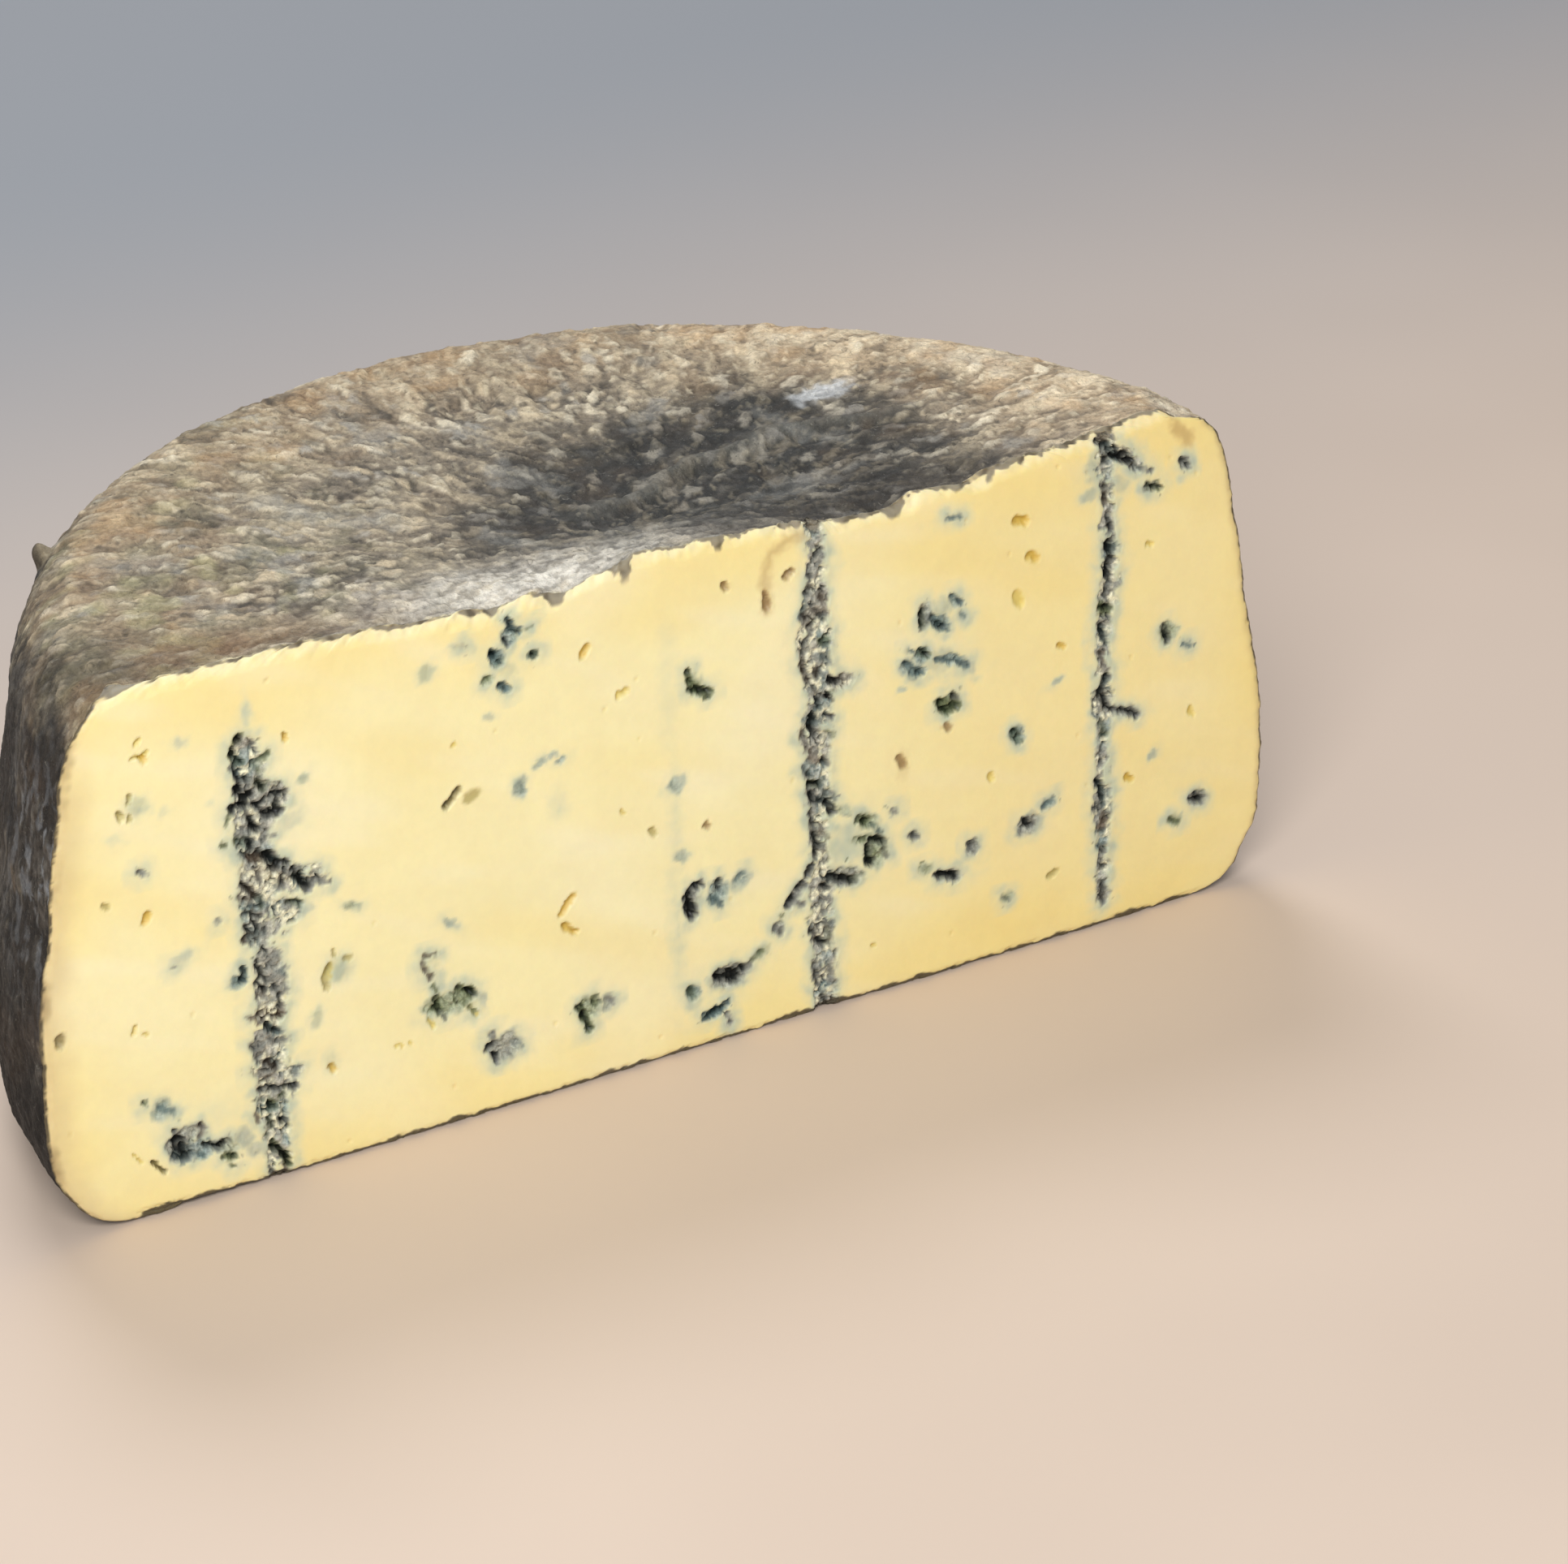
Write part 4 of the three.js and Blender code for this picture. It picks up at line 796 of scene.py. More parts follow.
def make_wheel():
    # -- side wall and shoulders, rows from the base's edge up to the rim, columns left to right
    line = _dense[: int(4000 * RIM_AT / (len(OUTSIDE) - 1)) + 1]
    length = np.concatenate([[0], np.cumsum(np.hypot(*np.diff(line, axis=0).T))])
    s = np.linspace(0, length[-1], NZ + 1)
    r0 = np.interp(s, length, line[:, 0])
    z0 = np.interp(s, length, line[:, 1])
    z0[0] = 0.0
    start = np.zeros(NZ + 1)
    for _ in range(4):  # where the cut plane meets each ring, left and right
        left_r = r0 + lean(math.pi - start, z0, r0)
        start = np.arcsin(CUT / left_r)
    end = np.zeros(NZ + 1)
    for _ in range(4):
        end = np.arcsin(CUT / (r0 + lean(end, z0, r0)))
    w = np.linspace(0, 1, NA + 1)[None, :]
    a = (math.pi - start)[:, None] * (1 - w) + end[:, None] * w
    rr = np.broadcast_to(r0[:, None], a.shape)
    zz = np.broadcast_to(z0[:, None], a.shape)
    k = rr + lean(a, zz, rr)
    x0, y0 = rr * np.cos(a), rr * np.sin(a)
    S = np.stack([k * np.cos(a), k * np.sin(a), zz + rise(a, x0, y0, zz, rr)], -1)
    S[0, :, 2] = 0.0
    S[:, 0, 1] = S[:, -1, 1] = CUT

    # -- top inside the rim
    arc = S[NZ]
    w = np.linspace(0, 1, NX + 1)[:, None]
    front = arc[0][None] * (1 - w) + arc[-1][None] * w
    T = coons(front, arc[NY : NY + NX + 1], arc[: NY + 1], arc[::-1][: NY + 1])
    inner = top_height(T[..., 0], T[..., 1])
    # carry the exact rim height in from the arc so that the two grids meet
    gap_at_arc = arc[:, 2] - top_height(arc[:, 0], arc[:, 1])
    ang = np.arctan2(T[..., 1], T[..., 0])
    order = np.argsort(np.arctan2(arc[:, 1], arc[:, 0]))
    fix = np.interp(ang, np.arctan2(arc[:, 1], arc[:, 0])[order], gap_at_arc[order])
    T[..., 2] = inner + fix * ramp(100, 117, np.hypot(T[..., 0], T[..., 1]))
    T[NY, :, 2] = arc[NY : NY + NX + 1, 2]
    T[:, 0, 2] = arc[: NY + 1, 2]
    T[:, -1, 2] = arc[::-1][: NY + 1, 2]
    T[0, :, 1] = CUT

    # -- rind relief, the same at shared points because it depends on place alone
    nS = -grid_normals(S)
    nT = grid_normals(T)
    if nT[NY // 2, NX // 2, 2] < 0:
        nT = -nT
    if nS[NZ // 2, NA // 2, 1] < 0:
        nS = -nS
    nS[0] = unit_rows(nS[1] * np.array([1, 1, 0.3]))
    # one normal at the shared rim
    both = unit_rows(nS[NZ] + np.concatenate([nT[:NY, 0], nT[NY], nT[:NY, -1][::-1]]))
    nS[NZ] = both
    nT[: NY + 1, 0] = both[: NY + 1]
    nT[NY] = both[NY : NY + NX + 1]
    nT[: NY + 1, -1] = both[::-1][: NY + 1]
    pts = np.concatenate([S.reshape(-1, 3), T.reshape(-1, 3)])
    nrm = np.concatenate([nS.reshape(-1, 3), nT.reshape(-1, 3)])
    m = rind_relief(pts, nrm)
    m["nz"] = nrm[:, 2]
    colour = rind_colour(pts, m)
    # the base's edge stays down, and so does the ring round it
    hold = np.concatenate([np.repeat(ramp(0, 9, z0), NA + 1), np.ones(T.shape[0] * T.shape[1])])
    amount = (m["relief"] - 0.15) * hold
    moved = pts + nrm * amount[:, None]
    # broken, uneven cut edge along the top: what the knife left of the crust
    x, y = pts[:, 0], pts[:, 1]
    cut_line = np.interp(
        x,
        [-132, -124, -119, -113, -109, -104, -97, -80, -62, -48, -40, -33, -26, -18, -10, 0, 15, 25, 33, 41, 50, 55, 67,
         72, 95, 105, 112, 118, 122, 126, 132],
        [0, 0.2, -1.0, 0.1, 0.5, 0.5, 0, 0.4, -0.4, -0.9, -1.6, -0.2, -1.8, 0.1, 2.0, 0.6, 0.4, 0.4, -0.6, -1.2, -1.6,
         0.6, -1.0, 0.6, 0.2, 0.8, 1.6, 0.9, -1.6, -0.8, 0],
    )
    moved[:, 2] += cut_line * np.exp(-((y - CUT) / 7.0) ** 2) * ramp(0.5, 0.9, nrm[:, 2])
    # a shred of dry rind standing up at the left shoulder
    moved = shred(pts, nrm, moved)
    S1 = moved[: S.shape[0] * S.shape[1]].reshape(S.shape)
    T1 = moved[S.shape[0] * S.shape[1] :].reshape(T.shape)
    S1[:, 0, 1] = S1[:, -1, 1] = CUT
    T1[0, :, 1] = CUT
    S1[0, :, 2] = 0.0
    # shared rim and corners are taken from the side grid
    T1[: NY + 1, 0] = S1[NZ, : NY + 1]
    T1[NY] = S1[NZ, NY : NY + NX + 1]
    T1[: NY + 1, -1] = S1[NZ][::-1][: NY + 1]

    # -- cut face between its four edges
    w = np.linspace(0, 1, NX + 1)
    foot = np.stack(
        [lerp(S1[0, 0, 0], S1[0, -1, 0], w), np.full(NX + 1, CUT), np.zeros(NX + 1)], -1
    )
    # where the underside doesn't quite touch the board
    fp = np.stack([foot[:, 0], np.zeros(NX + 1), np.zeros(NX + 1)], -1).astype(np.float32)
    lift = np.interp(
        foot[:, 0], [-124, -120, -118, -111, -104, -96, -70, 124], [0, 0.2, 1.2, 1.0, 0.7, 0.3, 0.1, 0.1]
    )
    lift = lift + 0.30 * np.clip(noise(fp, 6.0, 301) + 0.5, 0, 1) + 0.25 * np.clip(noise(fp, 2.2, 302), 0, 1)
    lift *= ramp(0, 0.02, w) * ramp(1, 0.98, w)
    foot[:, 2] = lift
    flat_foot = foot * np.array([1, 1, 0.0])
    F = coons(flat_foot, T[0], S[:, 0], S[:, -1])
    # the rind's own unevenness at the edges dies away a few millimetres in
    from_left = np.exp(-np.linalg.norm(F - F[:, :1], axis=-1) / 4.0)[..., None]
    from_right = np.exp(-np.linalg.norm(F - F[:, -1:], axis=-1) / 4.0)[..., None]
    from_top = np.exp(-np.linalg.norm(F - F[-1:], axis=-1) / 8.0)[..., None]
    from_foot = np.exp(-np.linalg.norm(F - F[:1], axis=-1) / 6.0)[..., None]
    d_left, d_right = (S1[:, 0] - S[:, 0])[:, None], (S1[:, -1] - S[:, -1])[:, None]
    d_top, d_foot = (T1[0] - T[0])[None], (foot - flat_foot)[None]
    F = (
        F + d_left * from_left + d_right * from_right + d_top * from_top + d_foot * from_foot
        - d_top[:, :1] * from_left * from_top - d_top[:, -1:] * from_right * from_top
    )
    fx, fz = F[..., 0].ravel(), F[..., 2].ravel()
    face = paint_face(fx, fz)
    out = face["height"] + paste_surface(fx, fz)
    fp = np.stack([fx, np.zeros(len(fx)), fz], -1).astype(np.float32)
    # distance in from each edge
    du = np.linalg.norm(F - S1[:, :1], axis=-1).ravel()
    du2 = np.linalg.norm(F - S1[:, -1:], axis=-1).ravel()
    dt = (T1[0][None, :, 2] - F[..., 2]).ravel()
    db = (F[..., 2] - foot[None, :, 2]).ravel()
    dside = np.minimum(du, du2)
    # crumbled edge: chips and crumbs along the top, a softly rounded lip at the sides and base
    g1, g2, q1, q2, q3 = grains(fp[:, [0, 2, 1]], 1.9, 311, flat=True)
    chip = ramp(3.0, 0.2, dt + 1.3 * noise(fp, 4.0, 312))
    out -= chip * (0.25 + 0.55 * np.clip(0.5 + 0.8 * noise(fp, 3.4, 326) + 0.4 * noise(fp, 1.6, 327), 0, 1.3) + 0.15 * q1)
    out -= 0.75 * np.exp(-dt / 0.7) + 0.45 * np.exp(-dside / 0.8) + 0.5 * np.exp(-db / 0.7)
    out -= 0.35 * ramp(1.6, 0.1, dside + 0.5 * noise(fp, 2.0, 313)) * (0.4 + q2)
    out -= 0.45 * ramp(1.8, 0.1, db + 0.7 * noise(fp, 2.2, 314)) * (0.3 + q2)
    # colour of the cut face, with the rind's thin dark line
    fc = face_colour(fx, fz, face)
    # paler cream along the crumbled top edge: partly the crumbs' own colour, partly painted light on the broken edge
    crumbly = ramp(2.6, 0.3, dt + 0.9 * noise(fp, 2.4, 315))
    fc = blend(fc, lin(250, 238, 196), 0.65 * crumbly * (1 - face["inside"]))
    under = ramp(2.8, 0.2, dside + 0.8 * noise(fp, 3.0, 316))
    fc = blend(fc, lin(216, 190, 132), 0.5 * under * (1 - face["inside"]))
    tan = ramp(9.0, 0.5, du + 2.0 * noise(fp, 7.0, 329)) * ramp(112, 90, fz)
    fc = blend(fc, lin(214, 194, 146), 0.66 * tan * (1 - face["inside"]))
    rust = ramp(2.6, 0.4, du + 0.9 * noise(fp, 2.0, 317)) * ramp(0.1, 0.6, noise(fp, 14.0, 318) + 0.4 * np.exp(-(((fz - 40) / 22) ** 2)))
    fc = blend(fc, lin(132, 106, 70), 0.60 * rust)
    # the dark line is drawn about twice as thick along the base, where it is partly painted shadow under the wheel
    thick = 0.55 + 0.35 * noise(fp, 3.0, 319) + 0.2 * noise(fp, 1.1, 320)
    fc = blend(fc, lin(62, 54, 42), 0.92 * ramp(1.0, 0.55, np.minimum(dside, db / np.maximum(2.1 + 1.8 * noise(fp, 6.0, 328) + 0.9 * noise(fp, 2.2, 330), 0.7)) / np.maximum(thick, 0.15)))
    thin = 0.30 + 0.45 * noise(fp, 4.0, 321) + 0.25 * noise(fp, 1.2, 322)
    thin = thin + 1.1 * ramp(0.05, 0.55, noise(fp, 4.4, 334) + 0.4 * noise(fp, 1.7, 335)) * ramp(-30, 40, fx)
    for hx, half, down in HANGS:
        thin = np.maximum(thin, down * ramp(half + 0.9, half * 0.3, np.abs(fx + 0.5 * noise(fp, 1.6, 323) - hx)) + 0.35 * noise(fp, 1.3, 324))
    hang = ramp(1.1, 0.6, dt / np.maximum(thin, 0.02)) * ramp(0.1, 0.4, thin)
    hung = np.tile(lin(138, 130, 114), (len(fx), 1))
    hung = blend(hung, lin(78, 70, 60), ramp(-0.1, 0.5, noise(fp, 2.2, 325)))
    fc = blend(fc, lin(132, 122, 102), 0.35 * ramp(1.0, 0.4, dt / np.maximum(np.minimum(thin, 0.6), 0.02)))
    fc = fc + (hung - fc) * (0.9 * hang)[:, None]
    F[..., 1] = CUT - out.reshape(F.shape[:2])

    # -- the rind follows the crumbled edge back over a few millimetres
    dS_left = np.linalg.norm(S1 - S1[:, :1], axis=-1)
    dS_right = np.linalg.norm(S1 - S1[:, -1:], axis=-1)
    eL = F[:, 0, 1] - CUT
    eR = F[:, -1, 1] - CUT
    S1[..., 1] += eL[:, None] * np.exp(-dS_left / 2.6) + eR[:, None] * np.exp(-dS_right / 2.6)
    dT = np.abs(T1[..., 1] - CUT)
    eT = np.interp(T1[..., 0], T1[0, :, 0], F[NZ, :, 1] - CUT)
    T1[..., 1] += eT * np.exp(-dT / 2.6)
    S1[:, 0] = F[:, 0]
    S1[:, -1] = F[:, -1]
    T1[0] = F[NZ]
    T1[: NY + 1, 0] = S1[NZ, : NY + 1]
    T1[NY] = S1[NZ, NY : NY + NX + 1]
    T1[: NY + 1, -1] = S1[NZ][::-1][: NY + 1]

    # crumbs of paste smeared over the cut edge of the rind
    rp = pts.astype(np.float32)
    dc = np.concatenate(
        [np.minimum(dS_left, dS_right).ravel(), dT.ravel()]
    )
    smear = ramp(1.5, 0.1, dc + 1.3 * noise(rp, 2.4, 331) + 0.6 * noise(rp, 1.1, 332)) * ramp(0.25, 0.8, nrm[:, 2])
    smear *= ramp(-0.1, 0.35, noise(rp, 11.0, 333)) * ramp(20, -30, pts[:, 0])
    colour = blend(colour, lin(236, 224, 184), 0.8 * smear)
    return S1, T1, F, colour, fc, face, m, nrm, pts, dict(dt=dt, dside=dside, db=db)
SHRED = np.array([-103.4, 85.2, 108.4])  # root of the rind's standing shred, from the wheel's axis


def shred(pts, nrm, moved):
    """Pulls a small blunt tongue of dry rind up from the left shoulder."""
    d = pts - SHRED
    out = unit_rows(np.array([[-0.36, 0.617, 0.70]]))[0]
    off = d - (d @ out)[:, None] * out[None, :]
    r = np.linalg.norm(off, axis=1)
    near = np.linalg.norm(d, axis=1) < 8
    bent = r * (1 + 0.16 * noise(pts.astype(np.float32), 2.2, 421))
    t = np.exp(-((bent / 2.0) ** 5.0)) * near
    foot = np.exp(-((r / 3.2) ** 2)) * near
    return moved + out[None, :] * (2.7 * t + 1.1 * foot)[:, None]


def base_fill(F, S1):
    """The underside inside the base's edge: new points in staggered rows and their triangles."""
    loop = np.concatenate([F[0], S1[0, 1:-1][::-1]])
    xs, ys = loop[:, 0], loop[:, 1]
    step = 3.0
    inner = []
    k = 0
    for yy in np.arange(CUT + 2.6, 124, step * 0.87):
        half = math.sqrt(max(0.0, 121.6**2 - yy * yy))
        k += 1
        for xx in np.arange(-half + (k % 2) * step / 2, half, step):
            inner.append((xx, yy))
    inner = np.array(inner)
    ip = np.stack([inner[:, 0], inner[:, 1], np.zeros(len(inner))], -1).astype(np.float32)
    z = 0.28 * np.clip(noise(ip, 14.0, 401), 0, 1) + 0.14 * np.clip(noise(ip, 5.0, 402), 0, 1)
    front = np.interp(inner[:, 0], F[0, :, 0], F[0, :, 2])
    z += front * np.exp(-(((inner[:, 1] - CUT) / 9.0) ** 2))
    n0 = len(loop)
    coords = [Vector((float(a), float(b))) for a, b in zip(xs, ys)] + [
        Vector((float(a), float(b))) for a, b in inner
    ]
    edges = [(i, (i + 1) % n0) for i in range(n0)]
    vo, eo, fo, ov, oe, of = delaunay_2d_cdt(coords, edges, [], 1, 1e-4)
    if len(vo) != len(coords) or any(len(o) != 1 for o in ov):
        raise RuntimeError("the underside's outline crosses itself")
    back = [o[0] for o in ov]
    tris = np.array([[back[i] for i in f] for f in fo], int)
    return n0, np.concatenate([inner, z[:, None]], 1), tris


S1, T1, F, rind_col, face_col, face, relief, rind_nrm, rind_pts, dist = make_wheel()

# -- number every point once
nS = S1.shape[0] * S1.shape[1]
idS = np.arange(nS).reshape(S1.shape[:2])
points = [S1.reshape(-1, 3)]
idT = np.full(T1.shape[:2], -1)
idT[: NY + 1, 0] = idS[NZ, : NY + 1]
idT[NY] = idS[NZ, NY : NY + NX + 1]
idT[: NY + 1, -1] = idS[NZ][::-1][: NY + 1]
freeT = idT < 0
idT[freeT] = nS + np.arange(freeT.sum())
points.append(T1[freeT])
count = nS + freeT.sum()
idF = np.full(F.shape[:2], -1)
idF[:, 0] = idS[:, 0]
idF[:, -1] = idS[:, -1]
idF[NZ] = idT[0]
freeF = idF < 0
idF[freeF] = count + np.arange(freeF.sum())
points.append(F[freeF])
count += freeF.sum()
n_loop, base_pts, base_tris = base_fill(F, S1)
loop_ids = np.concatenate([idF[0], idS[0, 1:-1][::-1]])
base_ids = np.concatenate([loop_ids, count + np.arange(len(base_pts))])
points.append(base_pts)
xyz = np.concatenate(points)
N = len(xyz)


def quads(ids):
    return np.stack([ids[:-1, :-1], ids[:-1, 1:], ids[1:, 1:], ids[1:, :-1]], -1).reshape(-1, 4)


def facing(q, outward):
    """Turns a set of quads or triangles round if its faces point against outward on the whole."""
    a, b, c = xyz[q[:, 0]], xyz[q[:, 1]], xyz[q[:, 2]]
    nn = np.cross(b - a, c - a)
    mid = (a + b + c) / 3
    return q if np.sum(nn * outward(mid)) > 0 else q[:, ::-1]


qS = facing(quads(idS), lambda m: m * np.array([1, 1, 0.0]))
qT = facing(quads(idT), lambda m: np.tile([0, 0, 1.0], (len(m), 1)))
qF = facing(quads(idF), lambda m: np.tile([0, -1.0, 0], (len(m), 1)))
tB = facing(base_ids[base_tris], lambda m: np.tile([0, 0, -1.0], (len(m), 1)))

# -- place in the part's frame: cut plane and footprint as the CAD node's box has them
cad0, cad1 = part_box("cheese_half_wheel")
shift = np.array([0.0, cad0.y * 1000 - CUT, 0.0])
place = (xyz + shift) / 1000.0

verts_total = N
quad_all = np.concatenate([qS, qT, qF])
loops = np.concatenate([quad_all.ravel(), tB.ravel()]).astype(np.int32)
starts = np.concatenate(
    [np.arange(len(quad_all)) * 4, len(quad_all) * 4 + np.arange(len(tB)) * 3]
).astype(np.int32)
totals = np.concatenate([np.full(len(quad_all), 4), np.full(len(tB), 3)]).astype(np.int32)
mesh = bpy.data.meshes.new("cheese_half_wheel_skin")
mesh.vertices.add(N)
mesh.vertices.foreach_set("co", place.astype(np.float32).ravel())
mesh.loops.add(len(loops))
mesh.loops.foreach_set("vertex_index", loops)
mesh.polygons.add(len(starts))
mesh.polygons.foreach_set("loop_start", starts)
mesh.polygons.foreach_set("loop_total", totals)
mat_index = np.zeros(len(starts), np.int32)
mat_index[len(qS) + len(qT) : len(quad_all)] = 1
mesh.polygons.foreach_set("material_index", mat_index)
mesh.polygons.foreach_set("use_smooth", np.ones(len(starts), bool))
mesh.update(calc_edges=True)

# -- colour and masks on the points
tint = np.zeros((N, 4), np.float32)
tint[:, 3] = 1
tint[:nS, :3] = rind_col[:nS]
ST = rind_col[nS:].reshape(T1.shape)
tint[idT[freeT], :3] = ST[freeT]
FC = face_col.reshape(F.shape)
tint[idF[freeF], :3] = FC[freeF]
# shared edge points take the face's colour
for ids, colours in ((idF[:, 0], FC[:, 0]), (idF[:, -1], FC[:, -1]), (idF[NZ], FC[NZ])):
    tint[ids, :3] = colours
bp = base_pts.astype(np.float32)
under = np.tile(lin(92, 78, 60), (len(bp), 1))
under = blend(under, lin(62, 56, 46), ramp(-0.2, 0.6, noise(bp, 16.0, 411)))
under = blend(under, lin(128, 112, 86), 0.5 * ramp(0.1, 0.7, noise(bp, 7.0, 412) + 0.4 * noise(bp, 3.6, 413)))
under = under * (0.62 - 0.22 * ramp(-0.1, 0.6, noise(bp, 24.0, 414)))[:, None]
rim_near = ramp(96, 121, np.hypot(bp[:, 0], bp[:, 1]) + 7 * noise(bp, 9.0, 415))
under = blend(under, lin(30, 24, 19), 0.9 * rim_near)
tint[N - len(bp) :, :3] = under
tint[:, :3] = np.clip(tint[:, :3], 0.0, 1.0)
attr = mesh.color_attributes.new("tint", "FLOAT_COLOR", "POINT")
attr.data.foreach_set("color", tint.ravel())


def mask(name, values):
    a = mesh.attributes.new(name, "FLOAT", "POINT")
    a.data.foreach_set("value", values.astype(np.float32))


mould = np.zeros(N, np.float32)
mould[idF[freeF]] = np.clip(face["inside"].reshape(F.shape[:2])[freeF], 0, 1)
mask("mould", mould)

# -- texture space: each side of the wheel is one flat island
uv = np.zeros((len(loops), 2), np.float32)


def lay(ids, faces_slice, plane_uv, corner, scale):
    lookup = np.zeros((N, 2), np.float32)
    lookup[ids.ravel()] = plane_uv.reshape(-1, 2)
    s = slice(int(starts[faces_slice.start]), int(starts[faces_slice.stop - 1] + totals[faces_slice.stop - 1]))
    uv[s] = lookup[loops[s]] * scale + np.array(corner, np.float32)


side_len = 457.0
side_high = 157.0
uS = np.stack(np.broadcast_arrays(np.linspace(0, side_len, NA + 1)[None, :], np.linspace(0, side_high, NZ + 1)[:, None]), -1)
SIZE = 352.0
lay(idS, slice(0, len(qS)), uS, (0.01, 0.008), 0.74 / SIZE)
uT = np.stack([T1[..., 0] + 122, T1[..., 1]], -1)
lay(idT, slice(len(qS), len(qS) + len(qT)), uT, (0.01, 0.69), 0.9 / SIZE)
uF = np.stack([F[..., 0] + 148, F[..., 2]], -1)
lay(idF, slice(len(qS) + len(qT), len(quad_all)), uF, (0.01, 0.348), 1.0 / SIZE)
uB = np.stack([xyz[base_ids][:, 0] + 126, xyz[base_ids][:, 1]], -1)
lay(base_ids, slice(len(quad_all), len(starts)), uB, (0.66, 0.70), 0.42 / SIZE)
layer = mesh.uv_layers.new(name="OFBake")
layer.data.foreach_set("uv", uv.ravel())

wheel = bpy.data.objects.new("cheese_half_wheel_skin", mesh)
bpy.context.scene.collection.objects.link(wheel)


# ---------------------------------------------------------------- materials
def nodes_of(name):
    mat = bpy.data.materials.new(name)
    mat.use_nodes = True
    nt = mat.node_tree
    nt.nodes.clear()
    out = nt.nodes.new("ShaderNodeOutputMaterial")
    bsdf = nt.nodes.new("ShaderNodeBsdfPrincipled")
    nt.links.new(bsdf.outputs[0], out.inputs[0])
    return mat, nt, bsdf


def node(nt, kind, **inputs):
    n = nt.nodes.new(kind)
    for key, value in inputs.items():
        if key.startswith("_"):
            setattr(n, key[1:], value)
        else:
            n.inputs[key.replace("_", " ")].default_value = value
    return n


def noise_tex(nt, coord, scale, detail=2.0, rough=0.55, distortion=0.0):
    n = nt.nodes.new("ShaderNodeTexNoise")
    n.inputs["Scale"].default_value = scale
    n.inputs["Detail"].default_value = detail
    n.inputs["Roughness"].default_value = rough
    n.inputs["Distortion"].default_value = distortion
    nt.links.new(coord, n.inputs["Vector"])
    return n.outputs["Fac"]


def map_range(nt, value, a, b, c, d, smooth=True):
    n = nt.nodes.new("ShaderNodeMapRange")
    if smooth:
        n.interpolation_type = "SMOOTHSTEP"
    n.inputs["From Min"].default_value = a
    n.inputs["From Max"].default_value = b
    n.inputs["To Min"].default_value = c
    n.inputs["To Max"].default_value = d
    nt.links.new(value, n.inputs["Value"])
    return n.outputs["Result"]


def maths(nt, op, a, b=None):
    n = nt.nodes.new("ShaderNodeMath")
    n.operation = op
    for i, v in enumerate((a, b)):
        if v is None:
            continue
        if isinstance(v, (int, float)):
            n.inputs[i].default_value = v
        else:
            nt.links.new(v, n.inputs[i])
    return n.outputs[0]


def mix_colour(nt, fac, a, b, mode="MIX"):
    n = nt.nodes.new("ShaderNodeMix")
    n.data_type = "RGBA"
    n.blend_type = mode
    n.clamp_factor = True
    for sock, v in ((n.inputs["Factor"], fac), (n.inputs["A"], a), (n.inputs["B"], b)):
        pass
    fac_in = [s for s in n.inputs if s.name == "Factor" and s.type == "VALUE"][0]
    a_in = [s for s in n.inputs if s.name == "A" and s.type == "RGBA"][0]
    b_in = [s for s in n.inputs if s.name == "B" and s.type == "RGBA"][0]
    for sock, v in ((fac_in, fac), (a_in, a), (b_in, b)):
        if isinstance(v, (int, float)):
            sock.default_value = v
        elif isinstance(v, tuple):
            sock.default_value = v
        else:
            nt.links.new(v, sock)
    return [s for s in n.outputs if s.type == "RGBA"][0]


def bump(nt, height, distance, strength, normal=None):
    n = nt.nodes.new("ShaderNodeBump")
    n.inputs["Distance"].default_value = distance
    n.inputs["Strength"].default_value = strength
    nt.links.new(height, n.inputs["Height"])
    if normal is not None:
        nt.links.new(normal, n.inputs["Normal"])
    return n.outputs["Normal"]


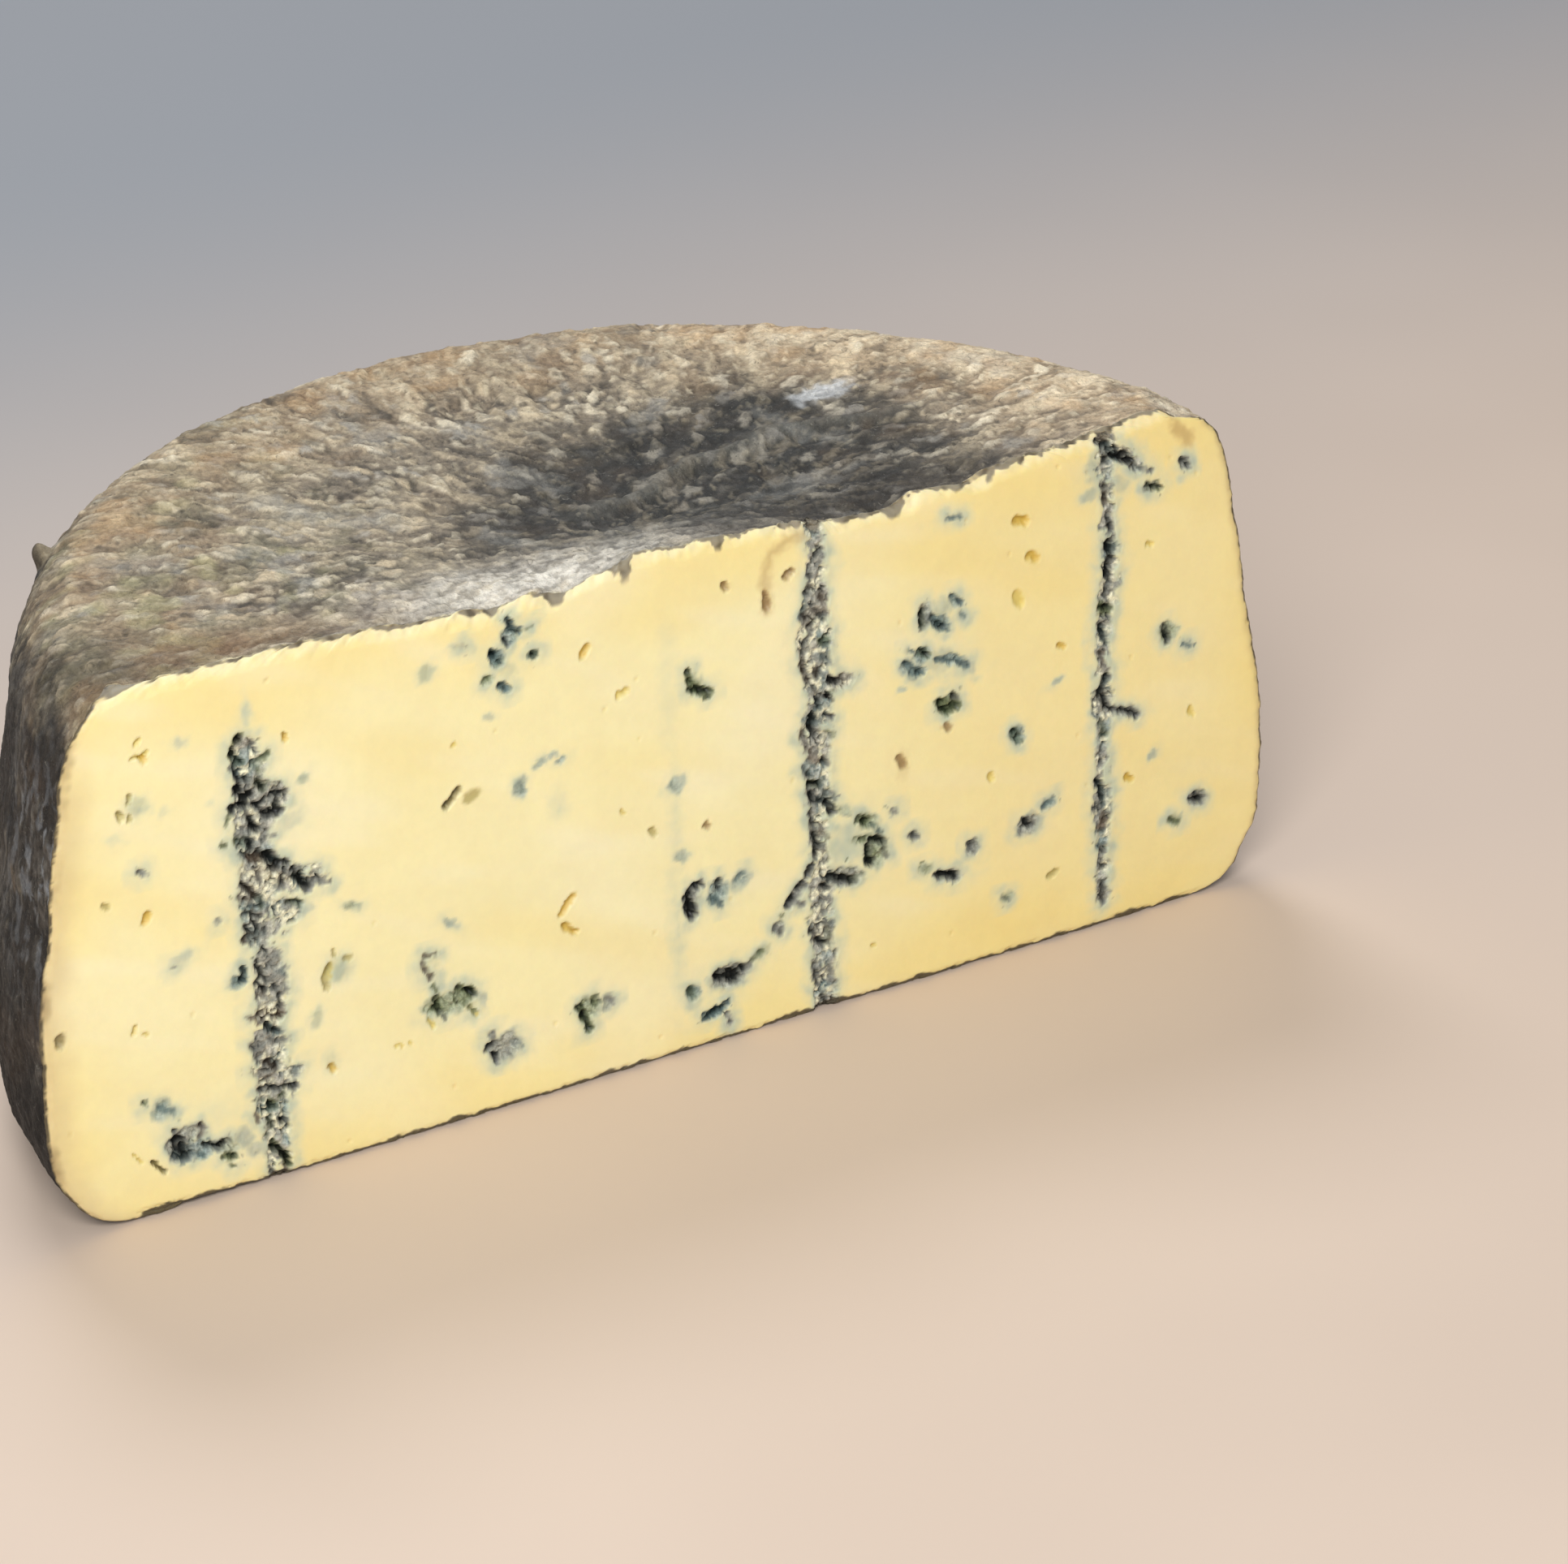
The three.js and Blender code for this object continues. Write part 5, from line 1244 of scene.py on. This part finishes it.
def paste_material():
    mat, nt, bsdf = nodes_of("paste")
    geo = nt.nodes.new("ShaderNodeTexCoord").outputs["Object"]
    tint_n = nt.nodes.new("ShaderNodeAttribute")
    tint_n.attribute_name = "tint"
    mould_n = nt.nodes.new("ShaderNodeAttribute")
    mould_n.attribute_name = "mould"
    m = mould_n.outputs["Fac"]
    # fat and protein mottling of the paste
    mottle = map_range(nt, noise_tex(nt, geo, 420.0, 3.0, 0.6), 0.3, 0.7, 0.988, 1.010)
    cloud = map_range(nt, noise_tex(nt, geo, 75.0, 2.0, 0.5, 0.6), 0.3, 0.7, 0.985, 1.015)
    shade = maths(nt, "MULTIPLY", mottle, cloud)
    comb = nt.nodes.new("ShaderNodeCombineColor")
    for i in range(3):
        nt.links.new(shade, comb.inputs[i])
    base = mix_colour(nt, 1.0, tint_n.outputs["Color"], comb.outputs[0], "MULTIPLY")
    # mould dust: fine light and dark speckle where mould grows
    dust = map_range(nt, noise_tex(nt, geo, 1100.0, 3.0, 0.65), 0.36, 0.64, 0.78, 1.22)
    comb2 = nt.nodes.new("ShaderNodeCombineColor")
    for i in range(3):
        nt.links.new(dust, comb2.inputs[i])
    base = mix_colour(nt, m, base, mix_colour(nt, 1.0, base, comb2.outputs[0], "MULTIPLY"))
    nt.links.new(base, bsdf.inputs["Base Color"])
    rough = map_range(nt, noise_tex(nt, geo, 160.0, 3.0, 0.6), 0.3, 0.7, 0.40, 0.56)
    rough = maths(nt, "ADD", rough, maths(nt, "MULTIPLY", m, 0.42))
    nt.links.new(rough, bsdf.inputs["Roughness"])
    nt.links.new(map_range(nt, m, 0.0, 0.7, 0.24, 0.04), bsdf.inputs["Subsurface Weight"])
    bsdf.inputs["Subsurface Radius"].default_value = (1.0, 0.72, 0.32)
    bsdf.inputs["Subsurface Scale"].default_value = 0.0035
    nt.links.new(map_range(nt, m, 0.0, 0.7, 0.40, 0.14), bsdf.inputs["Specular IOR Level"])
    h = maths(nt, "ADD", noise_tex(nt, geo, 900.0, 2.0, 0.5), maths(nt, "MULTIPLY", noise_tex(nt, geo, 220.0, 2.0, 0.5), 1.6))
    n1 = bump(nt, h, 0.00010, 0.30)
    h2 = maths(nt, "MULTIPLY", noise_tex(nt, geo, 1300.0, 3.0, 0.7), m)
    n2 = bump(nt, h2, 0.0005, 0.6, n1)
    nt.links.new(n2, bsdf.inputs["Normal"])
    return mat


def rind_material():
    mat, nt, bsdf = nodes_of("rind")
    geo = nt.nodes.new("ShaderNodeTexCoord").outputs["Object"]
    tint_n = nt.nodes.new("ShaderNodeAttribute")
    tint_n.attribute_name = "tint"
    grain = map_range(nt, noise_tex(nt, geo, 820.0, 4.0, 0.68, 0.4), 0.34, 0.66, 0.82, 1.18)
    blot = map_range(nt, noise_tex(nt, geo, 210.0, 3.0, 0.6, 0.8), 0.32, 0.68, 0.90, 1.10)
    shade = maths(nt, "MULTIPLY", grain, blot)
    comb = nt.nodes.new("ShaderNodeCombineColor")
    for i in range(3):
        nt.links.new(shade, comb.inputs[i])
    base = mix_colour(nt, 1.0, tint_n.outputs["Color"], comb.outputs[0], "MULTIPLY")
    # pale threads and dust of mould, and dark pits
    thread = map_range(nt, noise_tex(nt, geo, 520.0, 4.0, 0.7, 1.8), 0.60, 0.70, 0.0, 0.22)
    base = mix_colour(nt, thread, base, (0.56, 0.53, 0.45, 1.0))
    pit = map_range(nt, noise_tex(nt, geo, 640.0, 3.0, 0.6, 1.2), 0.38, 0.30, 0.0, 0.45)
    base = mix_colour(nt, pit, base, (0.022, 0.023, 0.02, 1.0))
    nt.links.new(base, bsdf.inputs["Base Color"])
    rough = map_range(nt, noise_tex(nt, geo, 340.0, 3.0, 0.6), 0.3, 0.7, 0.62, 0.92)
    nt.links.new(rough, bsdf.inputs["Roughness"])
    bsdf.inputs["Specular IOR Level"].default_value = 0.36
    bsdf.inputs["Subsurface Weight"].default_value = 0.04
    bsdf.inputs["Subsurface Radius"].default_value = (1.0, 0.7, 0.4)
    bsdf.inputs["Subsurface Scale"].default_value = 0.0015
    h = maths(nt, "ADD", noise_tex(nt, geo, 780.0, 4.0, 0.68, 0.4), maths(nt, "MULTIPLY", noise_tex(nt, geo, 320.0, 3.0, 0.6, 0.8), 1.2))
    n1 = bump(nt, h, 0.00055, 0.85)
    nt.links.new(n1, bsdf.inputs["Normal"])
    return mat


mesh.materials.append(rind_material())
mesh.materials.append(paste_material())
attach(wheel, "root")
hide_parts("cheese_half_wheel")

# ---------------------------------------------------------------- floor, lights, camera
floor_mesh = bpy.data.meshes.new("floor")
g = 4.0
floor_mesh.from_pydata([(-g, -g, 0), (g, -g, 0), (g, g, 0), (-g, g, 0)], [], [(0, 1, 2, 3)])
floor = bpy.data.objects.new("floor", floor_mesh)
bpy.context.scene.collection.objects.link(floor)
fm, nt, bsdf = nodes_of("floor")
fgeo = nt.nodes.new("ShaderNodeTexCoord").outputs["Object"]
sep = nt.nodes.new("ShaderNodeSeparateXYZ")
nt.links.new(fgeo, sep.inputs[0])
# the floor turns darker and greyer towards the back: painted shade of the light falling off
far = map_range(nt, sep.outputs["Y"], 0.02, 0.52, 0.0, 1.0)
soft = map_range(nt, noise_tex(nt, fgeo, 6.0, 2.0, 0.5), 0.3, 0.7, 0.0, 1.0)
near_c = mix_colour(nt, soft, (0.665, 0.535, 0.435, 1.0), (0.70, 0.565, 0.46, 1.0))
nt.links.new(mix_colour(nt, far, near_c, (0.33, 0.345, 0.37, 1.0)), bsdf.inputs["Base Color"])
bsdf.inputs["Roughness"].default_value = 0.62
floor_mesh.materials.append(fm)


def area(name, at, to, size, power, colour=(1, 1, 1)):
    light = bpy.data.lights.new(name, "AREA")
    light.shape = "DISK"
    light.size = size
    light.energy = power
    light.color = colour
    o = bpy.data.objects.new(name, light)
    o.location = at
    o.rotation_mode = "QUATERNION"
    o.rotation_quaternion = (Vector(to) - Vector(at)).to_track_quat("-Z", "Y")
    bpy.context.scene.collection.objects.link(o)
    return o


area("key", (-0.68, -1.00, 0.95), (-0.02, 0.0, 0.05), 0.75, 16.4, (1.0, 1.0, 0.985))
area("back", (0.20, 1.05, 1.55), (0.0, 0.04, 0.10), 0.8, 13.0, (0.97, 0.98, 1.0))
world = bpy.data.worlds.new("world")
world.use_nodes = True
world.node_tree.nodes["Background"].inputs["Color"].default_value = (0.93, 0.95, 1.0, 1.0)
world.node_tree.nodes["Background"].inputs["Strength"].default_value = 0.36
bpy.context.scene.world = world
bpy.context.scene.view_settings.view_transform = "Standard"

# the camera stands in front and to the left of the cut, looking down on it
EYE = np.array([-488.53, -856.57, 548.77])  # mm, from the middle of the cut line
YAW, PITCH, ROLL = math.radians(30.8446), math.radians(26.2579), math.radians(-1.0952)
FOCAL = 6619.99 / 1932.0 * 36.0
look = np.array([math.sin(YAW) * math.cos(PITCH), math.cos(YAW) * math.cos(PITCH), -math.sin(PITCH)])
flat = np.array([math.cos(YAW), -math.sin(YAW), 0.0])
upward = np.cross(flat, look)
right_v = math.cos(ROLL) * flat + math.sin(ROLL) * upward
up_v = -math.sin(ROLL) * flat + math.cos(ROLL) * upward
cam_data = bpy.data.cameras.new("camera")
cam_data.lens = FOCAL
cam_data.sensor_width = 36.0
cam_data.clip_start = 0.05
cam_data.clip_end = 30.0
cam = bpy.data.objects.new("camera", cam_data)
at = (EYE + np.array([shift[0], shift[1] + CUT, 0.0])) / 1000.0
m4 = Matrix.Identity(4)
for i in range(3):
    m4[i][0], m4[i][1], m4[i][2], m4[i][3] = right_v[i], up_v[i], -look[i], at[i]
cam.matrix_world = m4
bpy.context.scene.collection.objects.link(cam)
bpy.context.scene.camera = cam
